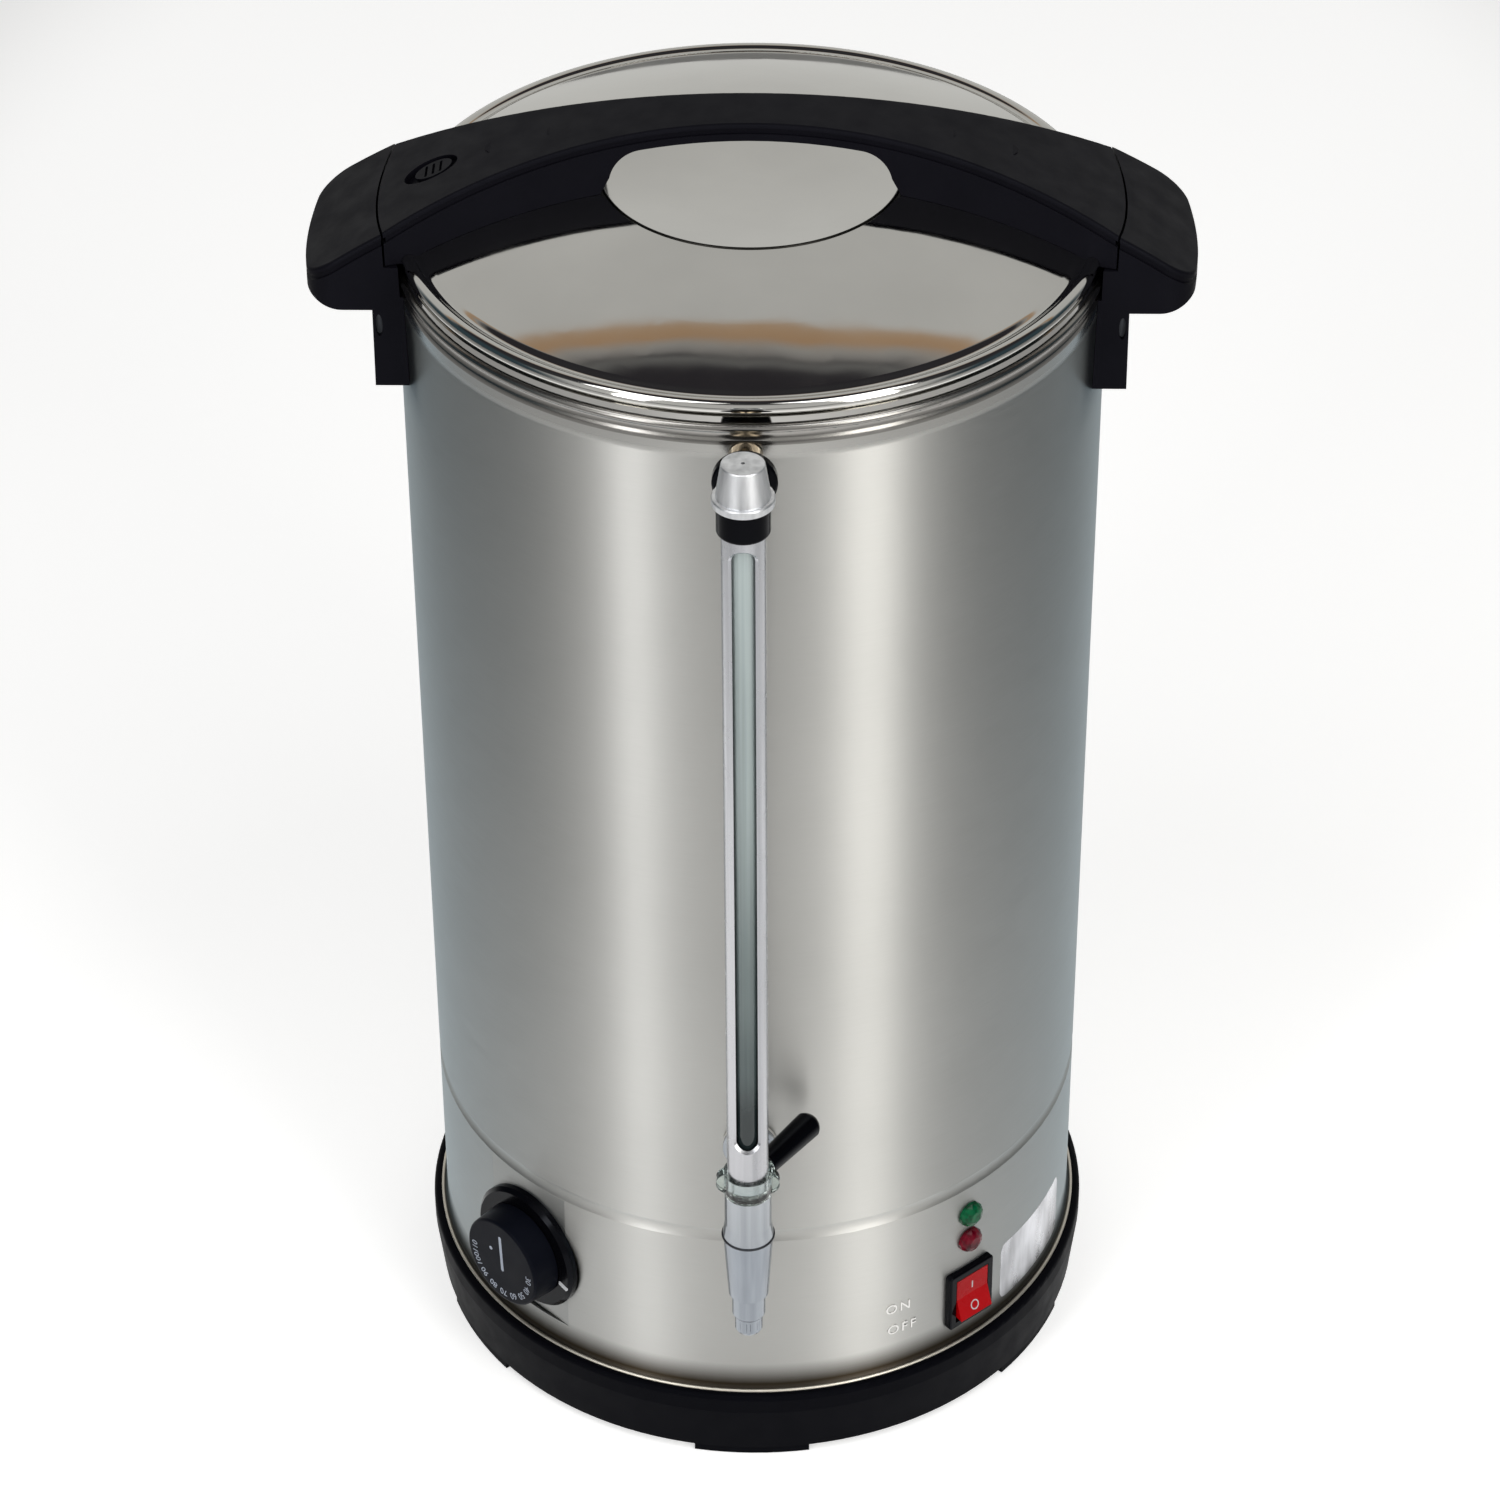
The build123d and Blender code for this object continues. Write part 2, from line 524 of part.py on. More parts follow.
def foot_pad():
    """One foot: an arc of the ring's lower edge that reaches the floor."""
    outer = BASE_FOOT_RADIUS - 0.4
    pad = ring(outer, outer - FOOT_WIDTH, 0, FLANGE_Z + 0.5)
    half = radians(FOOT_ANGLE / 2)
    far = 2 * outer
    wedge = make_face(Polyline((0, 0), (-far * tan(half), -far), (far * tan(half), -far), close=True))
    pad &= extrude(wedge, FLANGE_Z + 0.5)
    return chamfer(pad.edges().group_by(Axis.Z)[0], 0.6)


def bottom_cover():
    top = FLANGE_Z - SEAT
    low = top - COVER_THICKNESS
    cover = disc(BASE_FOOT_RADIUS - FOOT_WIDTH - 1.5, low, top)
    half = radians(VENT_ANGLE / 2)
    for radius in VENT_RADII:
        slot = ring(radius + VENT_WIDTH / 2, radius - VENT_WIDTH / 2, low, top)
        far = 2 * radius
        wedge = make_face(
            Polyline((0, 0), (-far * tan(half), -far), (far * tan(half), -far), close=True)
        )
        slot &= Pos(0, 0, low) * extrude(wedge, COVER_THICKNESS)
        cover -= around(VENT_COUNT, slot)
    screw = Pos(0, -COVER_SCREW_CIRCLE, 0) * disc(COVER_SCREW_RADIUS + SEAT, low, top)
    nut_room = Pos(0, -STUD_CIRCLE, 0) * disc(LUG_RADIUS - 1, low, top)
    cover -= around(STUD_COUNT, nut_room)
    return cover - around(FOOT_COUNT, screw, start=180 / FOOT_COUNT)


def pan_head(radius, head_radius, head_height, length):
    """A screw along +Z with its head below the origin."""
    head = disc(head_radius, -head_height, 0)
    head = fillet(head.edges().sort_by(Axis.Z)[0], head_height * 0.5)
    slot = block((-head_radius, head_radius), (-0.4, 0.4), (-head_height, -head_height * 0.45))
    return head + disc(radius, -0.1, length) - slot


def cover_screws():
    low = FLANGE_Z - SEAT - COVER_THICKNESS
    screw = pan_head(COVER_SCREW_RADIUS - SEAT / 2, *COVER_SCREW_HEAD, COVER_SCREW_LENGTH)
    screw = Pos(0, -COVER_SCREW_CIRCLE, low) * screw
    return group(around(FOOT_COUNT, screw, start=180 / FOOT_COUNT))


def tie_studs():
    """Studs welded under the floor pan that draw the tank down onto the base."""
    stud = disc(STUD_RADIUS, FLANGE_Z - NUT_THICKNESS + 0.5, PAN_Z - SHEET)
    return group(around(STUD_COUNT, Pos(0, -STUD_CIRCLE, 0) * stud))


def tie_nuts():
    nut = hexagon(STUD_RADIUS * 1.95, FLANGE_Z - NUT_THICKNESS + 0.6, FLANGE_Z)
    nut -= disc(STUD_RADIUS, 0, FLANGE_Z)
    return group(around(STUD_COUNT, Pos(0, -STUD_CIRCLE, 0) * nut))


# ---- heating ----------------------------------------------------------------------------------
def heat_spreader():
    plate = disc(SPREADER_RADIUS, SPREADER_BOTTOM, SPREADER_TOP)
    return chamfer(plate.edges().sort_by(Axis.Z)[0], 1.0)


def element(ring_radius, tube_radius):
    """A tubular element: an open ring under the spreader with two ends bent down."""
    z = SPREADER_BOTTOM - tube_radius
    section = Plane.XZ * (Pos(ring_radius, z) * Circle(tube_radius))
    turn = 360 - RING_GAP_ANGLE
    coil = Rot(0, 0, 90 + RING_GAP_ANGLE / 2) * revolve(section, Axis.Z, revolution_arc=turn)
    end = Pos(ring_radius, 0, z) * Sphere(tube_radius)
    end += Pos(ring_radius, 0, 0) * disc(tube_radius, z - TERMINAL_DROP, z)
    pin_low = z - TERMINAL_DROP - TERMINAL_LENGTH
    end += Pos(ring_radius, 0, 0) * disc(tube_radius * 0.4, pin_low, z)
    for side in (-1, 1):
        coil += Rot(0, 0, 90 + side * RING_GAP_ANGLE / 2) * end
    return coil


def terminal_tab(high):
    """A push-on terminal that hangs down from a height."""
    half, thin = TAB_WIDTH / 2, TAB_THICKNESS / 2
    return block((-half, half), (-thin, thin), (high - TAB_LENGTH, high))


def boil_dry_cutout():
    """The snap-disc thermostat that cuts the heat when the tank runs dry."""
    low = SPREADER_BOTTOM - CUTOUT_HEIGHT
    body = disc(CUTOUT_RADIUS, low, SPREADER_BOTTOM)
    body += disc(CUTOUT_RADIUS * 0.75, low - 5, low)
    reach = CUTOUT_RADIUS * 1.75
    ears = block((-reach, reach), (-5, 5), (SPREADER_BOTTOM - 1.5, SPREADER_BOTTOM))
    for y in (-5, 5):
        body += Pos(0, y, 0) * terminal_tab(low - 5)
    return body + ears


# ---- thermostat -------------------------------------------------------------------------------
def on_flat(shape):
    """Moves a shape from the origin to the centre of the pressed flat, with +Z outwards."""
    return radial(FLAT_AZIMUTH, THERMOSTAT_Z, FLAT_DISTANCE) * shape


def thermostat_body():
    back = -SHEET - SEAT
    body = plate_block(BODY_WIDTH, BODY_HEIGHT, back - BODY_DEPTH, back)
    body = fillet(body.edges().filter_by(Axis.Z), 3.0)
    body -= Cylinder(SPINDLE_RADIUS + RUNNING, 2 * (SPINDLE_DEPTH + 3))
    for side in (-1, 1):
        hole = Cylinder(PLATE_SCREW_RADIUS, 16)
        body -= Pos(side * PLATE_SCREW_SPACING / 2, 0, back) * hole
        body += Pos(0, side * BODY_HEIGHT * 0.3, 0) * terminal_tab(back - BODY_DEPTH)
    return on_flat(body)


def thermostat_spindle():
    low = -SHEET - SEAT - SPINDLE_DEPTH
    spindle = disc(SPINDLE_RADIUS, low, KNOB_FACE - KNOB_SHELL - SEAT)
    flat = block((-5, 5), (SPINDLE_RADIUS - SPINDLE_FLAT, 5), (DIAL_PLATE_THICKNESS + SEAT, 30))
    return on_flat(spindle - flat)


def dial_plate():
    plate = disc(DIAL_PLATE_RADIUS, SEAT, DIAL_PLATE_THICKNESS)
    plate = chamfer(plate.edges().sort_by(Axis.Z)[-1], DIAL_PLATE_BEVEL)
    plate -= disc(SPINDLE_RADIUS + 0.8, -1, DIAL_PLATE_THICKNESS + 1)
    for side in (-1, 1):
        well = disc(PLATE_SCREW_RADIUS + SEAT, -1, 10) + disc(PLATE_SCREW_RADIUS * 2, 2.4, 10)
        plate -= Pos(side * PLATE_SCREW_SPACING / 2, 0, 0) * well
    return on_flat(plate)


def dial_plate_screws():
    screws = []
    for side in (-1, 1):
        screw = pan_head(PLATE_SCREW_RADIUS - SEAT, *PLATE_SCREW_HEAD, PLATE_SCREW_LENGTH)
        screw = Pos(side * PLATE_SCREW_SPACING / 2, 0, 2.5) * (Rot(180, 0, 0) * screw)
        screws.append(on_flat(screw))
    return group(screws)


def thermostat_knob():
    low = DIAL_PLATE_THICKNESS + KNOB_GAP
    knob = cone(KNOB_RADIUS, KNOB_RADIUS - KNOB_TAPER, low, KNOB_FACE)
    knob = fillet(knob.edges().sort_by(Axis.Z)[-1], 1.4)
    knob -= disc(KNOB_RADIUS - KNOB_TAPER - KNOB_SHELL, low - 1, KNOB_FACE - KNOB_SHELL)
    hub = disc(SPINDLE_RADIUS + 3, low + 0.5, KNOB_FACE - KNOB_SHELL)
    bore = disc(SPINDLE_RADIUS + RUNNING / 5, low - 1, KNOB_FACE - KNOB_SHELL)
    key = block((-5, 5), (SPINDLE_RADIUS - SPINDLE_FLAT + RUNNING, 5), (low - 1, KNOB_FACE))
    knob += hub - (bore - key)
    for angle in range(0, 180, 45):
        reach = KNOB_RADIUS - KNOB_TAPER - 1
        web = block((-reach, reach), (-KNOB_WEB / 2, KNOB_WEB / 2), (low + 4, KNOB_FACE - 1))
        web -= disc(SPINDLE_RADIUS + 2, low, KNOB_FACE)
        knob += Rot(0, 0, angle) * web
    return on_flat(knob)


def thermostat_capillary():
    """The liquid-filled bulb under the spreader and the fine tube from the thermostat to it."""
    bulb_z = SPREADER_BOTTOM - BULB_RADIUS
    bulb = Rot(0, 90, 0) * Cylinder(BULB_RADIUS, BULB_LENGTH)
    bulb = fillet(bulb.edges(), BULB_RADIUS * 0.6)
    bulb = Pos(0, -BULB_OFFSET, bulb_z) * bulb
    body_top = THERMOSTAT_Z + BODY_HEIGHT / 2 + SEAT
    level = body_top + CAPILLARY_RISE
    start = radial(FLAT_AZIMUTH, body_top, FLAT_DISTANCE - SHEET - SEAT - BODY_DEPTH / 2).origin
    top = Vector(start.X, start.Y, level)
    near = Vector(-BULB_LENGTH / 2 - 12, -BULB_OFFSET, level)
    end = Vector(-BULB_LENGTH / 2 + 2, -BULB_OFFSET, bulb_z)
    route = FilletPolyline(start, top, near, end, radius=3.0)
    tube = sweep(Plane(origin=start, z_dir=(0, 0, 1)) * Circle(CAPILLARY_RADIUS), path=route)
    return bulb + tube


# ---- switch and lamps -------------------------------------------------------------------------
def on_panel(shape, z):
    """Moves a shape from the origin onto the wall at the switch's azimuth, with +Z outwards."""
    return radial(PANEL_AZIMUTH, z, TANK_RADIUS) * shape


def tank_behind(height):
    """The tank as a cylinder, seen from a plane on its wall: what a fitted flange is cut with."""
    return Pos(0, 0, -TANK_RADIUS) * (Rot(90, 0, 0) * Cylinder(TANK_RADIUS + SEAT, 2 * height))


def plate_block(width, height, low, high):
    return Pos(0, 0, low) * Box(width, height, high - low, align=MIN)


def switch_housing():
    """The switch body behind the wall with the frame that stands proud of it."""
    bezel = plate_block(BEZEL_WIDTH, BEZEL_HEIGHT, -3.0, BEZEL_PROUD)
    bezel = fillet(bezel.edges().filter_by(Axis.Z), 1.6)
    bezel = fillet(bezel.faces().sort_by(Axis.Z)[-1].outer_wire().edges(), 0.9)
    bezel -= tank_behind(BEZEL_HEIGHT)
    throat = plate_block(
        ROCKER_WIDTH + 2 * THROAT_WALL, ROCKER_HEIGHT + 2 * THROAT_WALL, -SWITCH_BODY_DEPTH, 1.0
    )
    housing = bezel + throat
    well = plate_block(ROCKER_WIDTH, ROCKER_HEIGHT, -12.0, BEZEL_PROUD + 1)
    housing -= well
    housing -= Pos(0, 0, ROCKER_PIVOT) * (
        Rot(0, 90, 0) * Cylinder(ROCKER_PIN_RADIUS + RUNNING, ROCKER_WIDTH + 2.4)
    )
    for i in (-1, 0, 1):
        housing += Pos(0, i * BEZEL_HEIGHT * 0.28, 0) * terminal_tab(-SWITCH_BODY_DEPTH)
    return on_panel(housing, SWITCH_Z)


def rocker_switch():
    """The rocker with its upper half pressed in: two faces that meet at a shallow valley."""
    half = ROCKER_HEIGHT / 2 - ROCKER_SWING
    face = ROCKER_DEPTH / 2 + 1.6
    lean = tan(radians(ROCKER_TILT))
    low, foot = -ROCKER_DEPTH / 2, half * 0.62
    outline = make_face(
        [
            *path(
                (face + half * lean, -half),
                (face, 0),
                (face + half * lean, half),
                (low, foot),
            ),
            ThreePointArc((low, foot), (low - 1, 0), (low, -foot)),
            Line((low, -foot), (face + half * lean, -half)),
        ]
    )
    width = ROCKER_WIDTH - 2 * ROCKER_GAP
    side_plane = Plane(origin=(-width / 2, 0, ROCKER_PIVOT), x_dir=(0, 0, 1), z_dir=(1, 0, 0))
    body = extrude(side_plane * outline, width)
    body += Pos(0, 0, ROCKER_PIVOT) * (Rot(0, 90, 0) * Cylinder(ROCKER_PIN_RADIUS, ROCKER_WIDTH + 1.6))
    body = Pos(0, 0, ROCKER_PIVOT) * (Rot(-ROCKER_TILT, 0, 0) * (Pos(0, 0, -ROCKER_PIVOT) * body))
    return on_panel(body, SWITCH_Z)


def lamp(z):
    """An indicator lamp: a domed lens in front of the wall on a neck that passes through it."""
    lens = turned(
        *path((0, LAMP_PROUD), (0, 0), (LAMP_RADIUS, 0), (LAMP_RADIUS, LAMP_RIM)),
        TangentArc((0, LAMP_PROUD), (LAMP_RADIUS, LAMP_RIM), tangent=(1, 0)),
    )
    lens = Pos(0, 0, SEAT) * lens
    return on_panel(lens + disc(LAMP_NECK_RADIUS, -LAMP_LENGTH, 1), z)


def lamp_clips():
    low = -SHEET - SEAT - LAMP_CLIP_THICKNESS - 0.3
    clip = ring(LAMP_NECK_RADIUS + 2.6, LAMP_NECK_RADIUS, low, low + LAMP_CLIP_THICKNESS)
    return group(on_panel(clip, z) for z in LAMP_Z.values())


# ---- supply -----------------------------------------------------------------------------------
def cord_gland():
    """The cable entry at the back: a flange and a threaded neck with a bore through both."""
    flange = disc(GLAND_FLANGE_RADIUS, SEAT, GLAND_FLANGE_THICKNESS)
    flange = chamfer(flange.edges().sort_by(Axis.Z)[-1], 1.2)
    flange = disc(GLAND_FLANGE_RADIUS, -1, 1) - tank_behind(4 * GLAND_FLANGE_RADIUS) + flange
    gland = flange + disc(GLAND_NECK_RADIUS, -GLAND_NECK_LENGTH, 1)
    gland -= disc(GLAND_BORE_RADIUS, -GLAND_NECK_LENGTH - 1, GLAND_FLANGE_THICKNESS + 1)
    return radial(180, GLAND_Z, TANK_RADIUS) * gland


def gland_nut():
    low = -SHEET - 5.0
    nut = hexagon(GLAND_NECK_RADIUS * 1.6, low, -SHEET - 0.6) - disc(GLAND_NECK_RADIUS, -20, 0)
    return radial(180, GLAND_Z, TANK_RADIUS) * nut


def terminal_block():
    """The supply's terminal block, on a shelf that hangs from the wall over the cable entry."""
    width, depth, height = TERMINAL_BLOCK
    y = INNER_RADIUS - TERMINAL_BLOCK_GAP
    z = GLAND_Z + TERMINAL_BLOCK_RISE
    base = block((-width / 2, width / 2), (y - depth, y), (z, z + height))
    base = fillet(base.edges().filter_by(Axis.Z), 2.0)
    for i in range(3):
        x = (i - 1) * width / 3.4
        base -= Pos(x, y - depth * 0.35, z + height - 8) * Cylinder(3.0, 8, align=MIN)
        base -= Pos(x, y - depth * 0.7, z + height - 5) * Cylinder(2.2, 5, align=MIN)
    strut = block((-6, 6), (y - 1, TANK_RADIUS), (z + 2, z + height - 2))
    strut &= disc(INNER_RADIUS - SEAT, z, z + height)
    return base + strut


# ---- tap --------------------------------------------------------------------------------------
def tap_body():
    """The barrel that holds the turning valve, and the shank that screws into the tank."""
    low, high = BARREL_Z
    barrel = cone(BARREL_RADIUS + BARREL_FLARE, BARREL_RADIUS, low, low + 7)
    barrel += disc(BARREL_RADIUS, low + 7, high)
    reach = COLUMN_STANDOFF + SHEET + 18
    shank = Rot(-90, 0, 0) * Cylinder(SHANK_RADIUS, reach, align=MIN)
    flange_y = COLUMN_STANDOFF - 4.6
    flange = Pos(0, flange_y, 0) * (Rot(-90, 0, 0) * Cylinder(SHANK_FLANGE_RADIUS, 2.4, align=MIN))
    body = barrel + Pos(0, 0, SHANK_Z) * (shank + flange)
    body -= disc(ROTOR_RADIUS + RUNNING, low + SEAT_DISC_THICKNESS, high + 1)
    body -= disc(ROTOR_RADIUS, low - 1, low + SEAT_DISC_THICKNESS + 1)
    body -= Pos(0, 0, SHANK_Z) * (Rot(-90, 0, 0) * Cylinder(SHANK_BORE, reach + 1, align=MIN))
    return column(body)


def shank_ring(radius, bore, start, thickness):
    """A ring on the shank, from a distance inside the tank wall's outer line."""
    y = -TANK_RADIUS + start
    hollow = Cylinder(radius, thickness, align=MIN) - Cylinder(bore, thickness, align=MIN)
    return Pos(0, y, SHANK_Z) * (Rot(-90, 0, 0) * hollow)


def tap_gasket_outer():
    return shank_ring(SHANK_FLANGE_RADIUS, SHANK_RADIUS + SEAT / 2, -2.2, 1.7)


def tap_gasket_inner():
    return shank_ring(SHANK_FLANGE_RADIUS, SHANK_RADIUS + SEAT / 2, SHEET + 0.5, 2.0)


def tap_nut():
    y = -TANK_RADIUS + SHEET + 2.5 + SEAT
    nut = hexagon(SHANK_RADIUS * 1.65, 0, 6) - disc(SHANK_RADIUS, -1, 7)
    return Pos(0, y, SHANK_Z) * (Rot(-90, 0, 0) * nut)


def valve_seat():
    """The fixed disc at the bottom of the barrel, with a port beside the centre."""
    low = BARREL_Z[0]
    seat = disc(ROTOR_RADIUS - RUNNING, low, low + SEAT_DISC_THICKNESS)
    seat -= Pos(0, -PORT_OFFSET, 0) * disc(PORT_RADIUS, low - 1, low + 10)
    return column(seat)


def valve_plug():
    """The turning cup: its floor port meets the seat's port when the lever points forward."""
    low = BARREL_Z[0] + SEAT_DISC_THICKNESS + FREE
    plug = disc(ROTOR_RADIUS, low, BARREL_Z[1] + FREE)
    plug -= disc(ROTOR_BORE, low + ROTOR_FLOOR, BARREL_Z[1] + 1)
    port = Pos(0, -PORT_OFFSET, 0) * disc(PORT_RADIUS, low - 1, low + ROTOR_FLOOR + 1)
    plug -= Rot(0, 0, 90) * port
    window = block((-20, 20), (0, 20), (SHANK_Z - SHANK_BORE, SHANK_Z + SHANK_BORE))
    window &= disc(ROTOR_RADIUS + 1, SHANK_Z - SHANK_BORE, SHANK_Z + SHANK_BORE)
    return column(plug - window)


def lever_direction():
    a = radians(LEVER_AZIMUTH)
    return Vector(sin(a), -cos(a), 0)


def lever_plane(distance):
    d = lever_direction()
    return Plane(origin=(d.X * distance, COLUMN_Y + d.Y * distance, LEVER_Z), x_dir=(0, 0, 1), z_dir=d)


def lever_ring():
    """The clear ring that joins the lever to the plug, with a round ear on each side."""
    low = BARREL_Z[1] + FREE
    body = disc(RING_RADIUS, low, RING_TOP_Z)
    for side in (-1, 1):
        ear = Rot(90, 0, 0) * Cylinder(EAR_RADIUS, EAR_THICKNESS)
        body += Pos(side * EAR_REACH, 0, (low + RING_TOP_Z) / 2) * ear
    body -= disc(GLASS_RADIUS + FREE, low - 1, RING_TOP_Z + 1)
    body -= disc(GUARD_RADIUS + FREE, GUARD_Z[0] - FREE, RING_TOP_Z + 1)
    start = GUARD_RADIUS + 1.2
    boss = lever_plane(start) * Cylinder(LEVER_RADIUS[0], LEVER_ROOT - start, align=MIN)
    body = column(body) + boss
    return body - lever_plane(GUARD_RADIUS + 2.4) * Cylinder(LEVER_CORE_RADIUS, 20, align=MIN)


def lever_core():
    """The steel pin that carries the grip."""
    start = GUARD_RADIUS + 2.4
    return lever_plane(start) * Cylinder(LEVER_CORE_RADIUS, LEVER_REACH - start - 8, align=MIN)


def tap_lever():
    """The black grip: it swells towards a rounded end."""
    near, far = LEVER_RADIUS
    length = LEVER_REACH - LEVER_ROOT - SEAT
    neck = length - far * 0.7
    grip = turned(
        *path((0, length), (0, 0), (near - 0.6, 0), (near, 0.6), (far, neck)),
        TangentArc((0, length), (far, neck), tangent=(1, 0)),
    )
    grip -= disc(LEVER_CORE_RADIUS, -1, LEVER_REACH - 8 - LEVER_ROOT)
    return lever_plane(LEVER_ROOT + SEAT) * grip


def spout():
    """The outlet under the barrel: a long taper, a step and a ribbed tip, with a bore through it."""
    top = SPOUT_TOP_Z
    body = turned(
        *path(
            (0, SPOUT_TIP_Z),
            (TIP_RADIUS - 0.8, SPOUT_TIP_Z),
            (TIP_RADIUS, SPOUT_TIP_Z + 1.5),
            (TIP_RADIUS, NOZZLE_Z - 2),
            (NOZZLE_RADIUS, NOZZLE_Z),
            (NOZZLE_RADIUS, SPOUT_WAIST_Z - 1.5),
            (SPOUT_WAIST_RADIUS, SPOUT_WAIST_Z),
            (SPOUT_TOP_RADIUS, top),
            (0, top),
            (0, SPOUT_TIP_Z),
        )
    )
    body -= disc(SPOUT_BORE, SPOUT_TIP_Z - 1, top - 8)
    body -= cone(SPOUT_BORE, ROTOR_RADIUS - 1, top - 8, top + 0.01)
    notch = Pos(0, TIP_RADIUS + 0.5, 0) * disc(1.1, SPOUT_TIP_Z - 1, NOZZLE_Z - 3)
    return column(body - around(8, notch))


def spout_seal():
    low = BARREL_Z[0] - SPOUT_SEAL_THICKNESS
    seal = ring(SPOUT_SEAL_RADIUS, ROTOR_RADIUS - 1, low, BARREL_Z[0])
    return column(fillet(seal.edges().filter_by(GeomType.CIRCLE).group_by(SortBy.RADIUS)[-1], 0.5))


# ---- sight glass ------------------------------------------------------------------------------
def sight_glass():
    return column(ring(GLASS_RADIUS, GLASS_RADIUS - GLASS_WALL, *GLASS_Z))


def sight_glass_seals():
    """Rubber rings that centre the glass in the guard near its two ends."""
    outer = GUARD_RADIUS - GUARD_WALL - RUNNING
    inner = GLASS_RADIUS + RUNNING
    return group(column(ring(outer, inner, z, z + 4)) for z in (GUARD_Z[0] + 4, GUARD_Z[1] - 12))


def sight_guard():
    """The silver tube round the glass, with a long slot with round ends in front."""
    low, high = GUARD_Z
    tube = ring(GUARD_RADIUS, GUARD_RADIUS - GUARD_WALL, low, high)
    slot = SlotOverall(SLOT_Z[1] - SLOT_Z[0], SLOT_WIDTH, rotation=90)
    plane = Plane(origin=(0, 0, sum(SLOT_Z) / 2), x_dir=(1, 0, 0), z_dir=(0, -1, 0))
    return column(tube - extrude(plane * slot, 2 * GUARD_RADIUS))


def top_collar():
    """The black elbow that holds the top of the guard and the bracket stud."""
    low, high = COLLAR_Z
    collar = disc(COLLAR_RADIUS, low, high)
    collar = fillet(collar.edges().sort_by(Axis.Z)[0], 1.5)
    boss = Rot(-90, 0, 0) * Cylinder(COLLAR_BOSS_RADIUS, COLLAR_BOSS_LENGTH, align=MIN)
    flange = Cylinder(COLLAR_FLANGE_RADIUS, COLLAR_FLANGE_LENGTH, align=MIN)
    flange = Pos(0, COLLAR_BOSS_LENGTH - COLLAR_FLANGE_LENGTH, 0) * (Rot(-90, 0, 0) * flange)
    boss = Pos(0, 0, STUD_BRACKET_Z) * (boss + chamfer(flange.edges().filter_by(GeomType.CIRCLE), 0.8))
    boss -= disc(GUARD_RADIUS + 1, low - 10, low)
    collar += boss
    collar -= disc(GUARD_RADIUS + RUNNING, low - 10, GUARD_Z[1] + SEAT)
    collar -= disc(GLASS_RADIUS, low, high + 1)
    thread = Rot(-90, 0, 0) * Cylinder(BRACKET_THREAD, COLLAR_BOSS_LENGTH, align=MIN)
    return column(collar - Pos(0, COLLAR_BOSS_LENGTH - BRACKET_GRIP - 1, STUD_BRACKET_Z) * thread)


def top_cap():
    low = COLLAR_Z[1] + SEAT
    top = low + CAP_HEIGHT
    cap = disc(CAP_FLANGE_RADIUS, low, low + CAP_FLANGE_THICKNESS)
    cap = fillet(cap.edges().sort_by(Axis.Z)[-1], 1.0)
    crown = cone(CAP_BASE_RADIUS, CAP_TOP_RADIUS, low + 0.5, top)
    cap += fillet(crown.edges().sort_by(Axis.Z)[-1], 0.8)
    cap -= disc(GLASS_RADIUS, low - 1, top - 5)
    return column(cap - disc(CAP_VENT_RADIUS, low, top + 1))


def bracket_stud():
    """The stud that carries the top of the column: a sleeve outside the wall, a thread each end."""
    start = -COLUMN_STANDOFF + COLLAR_BOSS_LENGTH + SEAT
    sleeve = Cylinder(BRACKET_RADIUS, -start - 0.4, align=MIN)
    sleeve = chamfer(sleeve.edges().group_by(Axis.Z)[-1], 0.5)
    stud = Pos(0, start, 0) * (Rot(-90, 0, 0) * sleeve)
    length = BRACKET_GRIP - start + SHEET + 5
    thread = Rot(-90, 0, 0) * Cylinder(BRACKET_THREAD, length, align=MIN)
    stud += Pos(0, start - BRACKET_GRIP, 0) * thread
    return Pos(0, -TANK_RADIUS, STUD_BRACKET_Z) * stud


def bracket_nut():
    nut = hexagon(BRACKET_THREAD * 2.1, 0, 4) - disc(BRACKET_THREAD, -1, 5)
    return Pos(0, -INNER_RADIUS + 0.6, STUD_BRACKET_Z) * (Rot(-90, 0, 0) * nut)


# ---- lid --------------------------------------------------------------------------------------
def lid_line(drop):
    """The lid's line from its gutter over the dome to the middle of the dish, moved down."""
    gutter = (GUTTER_RADIUS, HEM_Z + HEM_RADIUS - GUTTER_DROP - drop)
    start = (DOME_RADIUS, DOME_START_Z - drop)
    edge = (DISH_RADIUS, DISH_EDGE_Z - drop)
    run, rise = start[0] - edge[0], edge[1] - start[1]
    chord = hypot(run, rise)
    bow = DOME_CROWN / chord
    middle = ((start[0] + edge[0]) / 2 + rise * bow, (start[1] + edge[1]) / 2 + run * bow)
    bottom = (0, edge[1] - DISH_DEPTH)
    hem = (HEM_CENTRE + HEM_RADIUS / 4, HEM_Z + HEM_RADIUS * 0.9 - drop)
    return hem, [
        Line(hem, gutter),
        Line(gutter, start),
        ThreePointArc(start, middle, edge),
        TangentArc(bottom, edge, tangent=(1, 0)),
    ], bottom


def lid_dome():
    """The polished lid: rolled hem, gutter, dome and the round dish under the handle."""
    hem, top, top_end = lid_line(0)
    low_hem, under, under_end = lid_line(LID_SHEET)
    sheet = turned(*top, Line(top_end, under_end), *under, Line(low_hem, hem))
    roll = Pos(0, 0, HEM_Z) * Torus(HEM_CENTRE, HEM_RADIUS)
    lid = sheet + roll
    for side in (-1, 1):
        for x in LID_BOSS_X:
            lid -= Pos(side * x, 0, 0) * disc(LID_SCREW_RADIUS + SEAT, HEM_BOTTOM, ARCH_TOP_Z)
    return lid


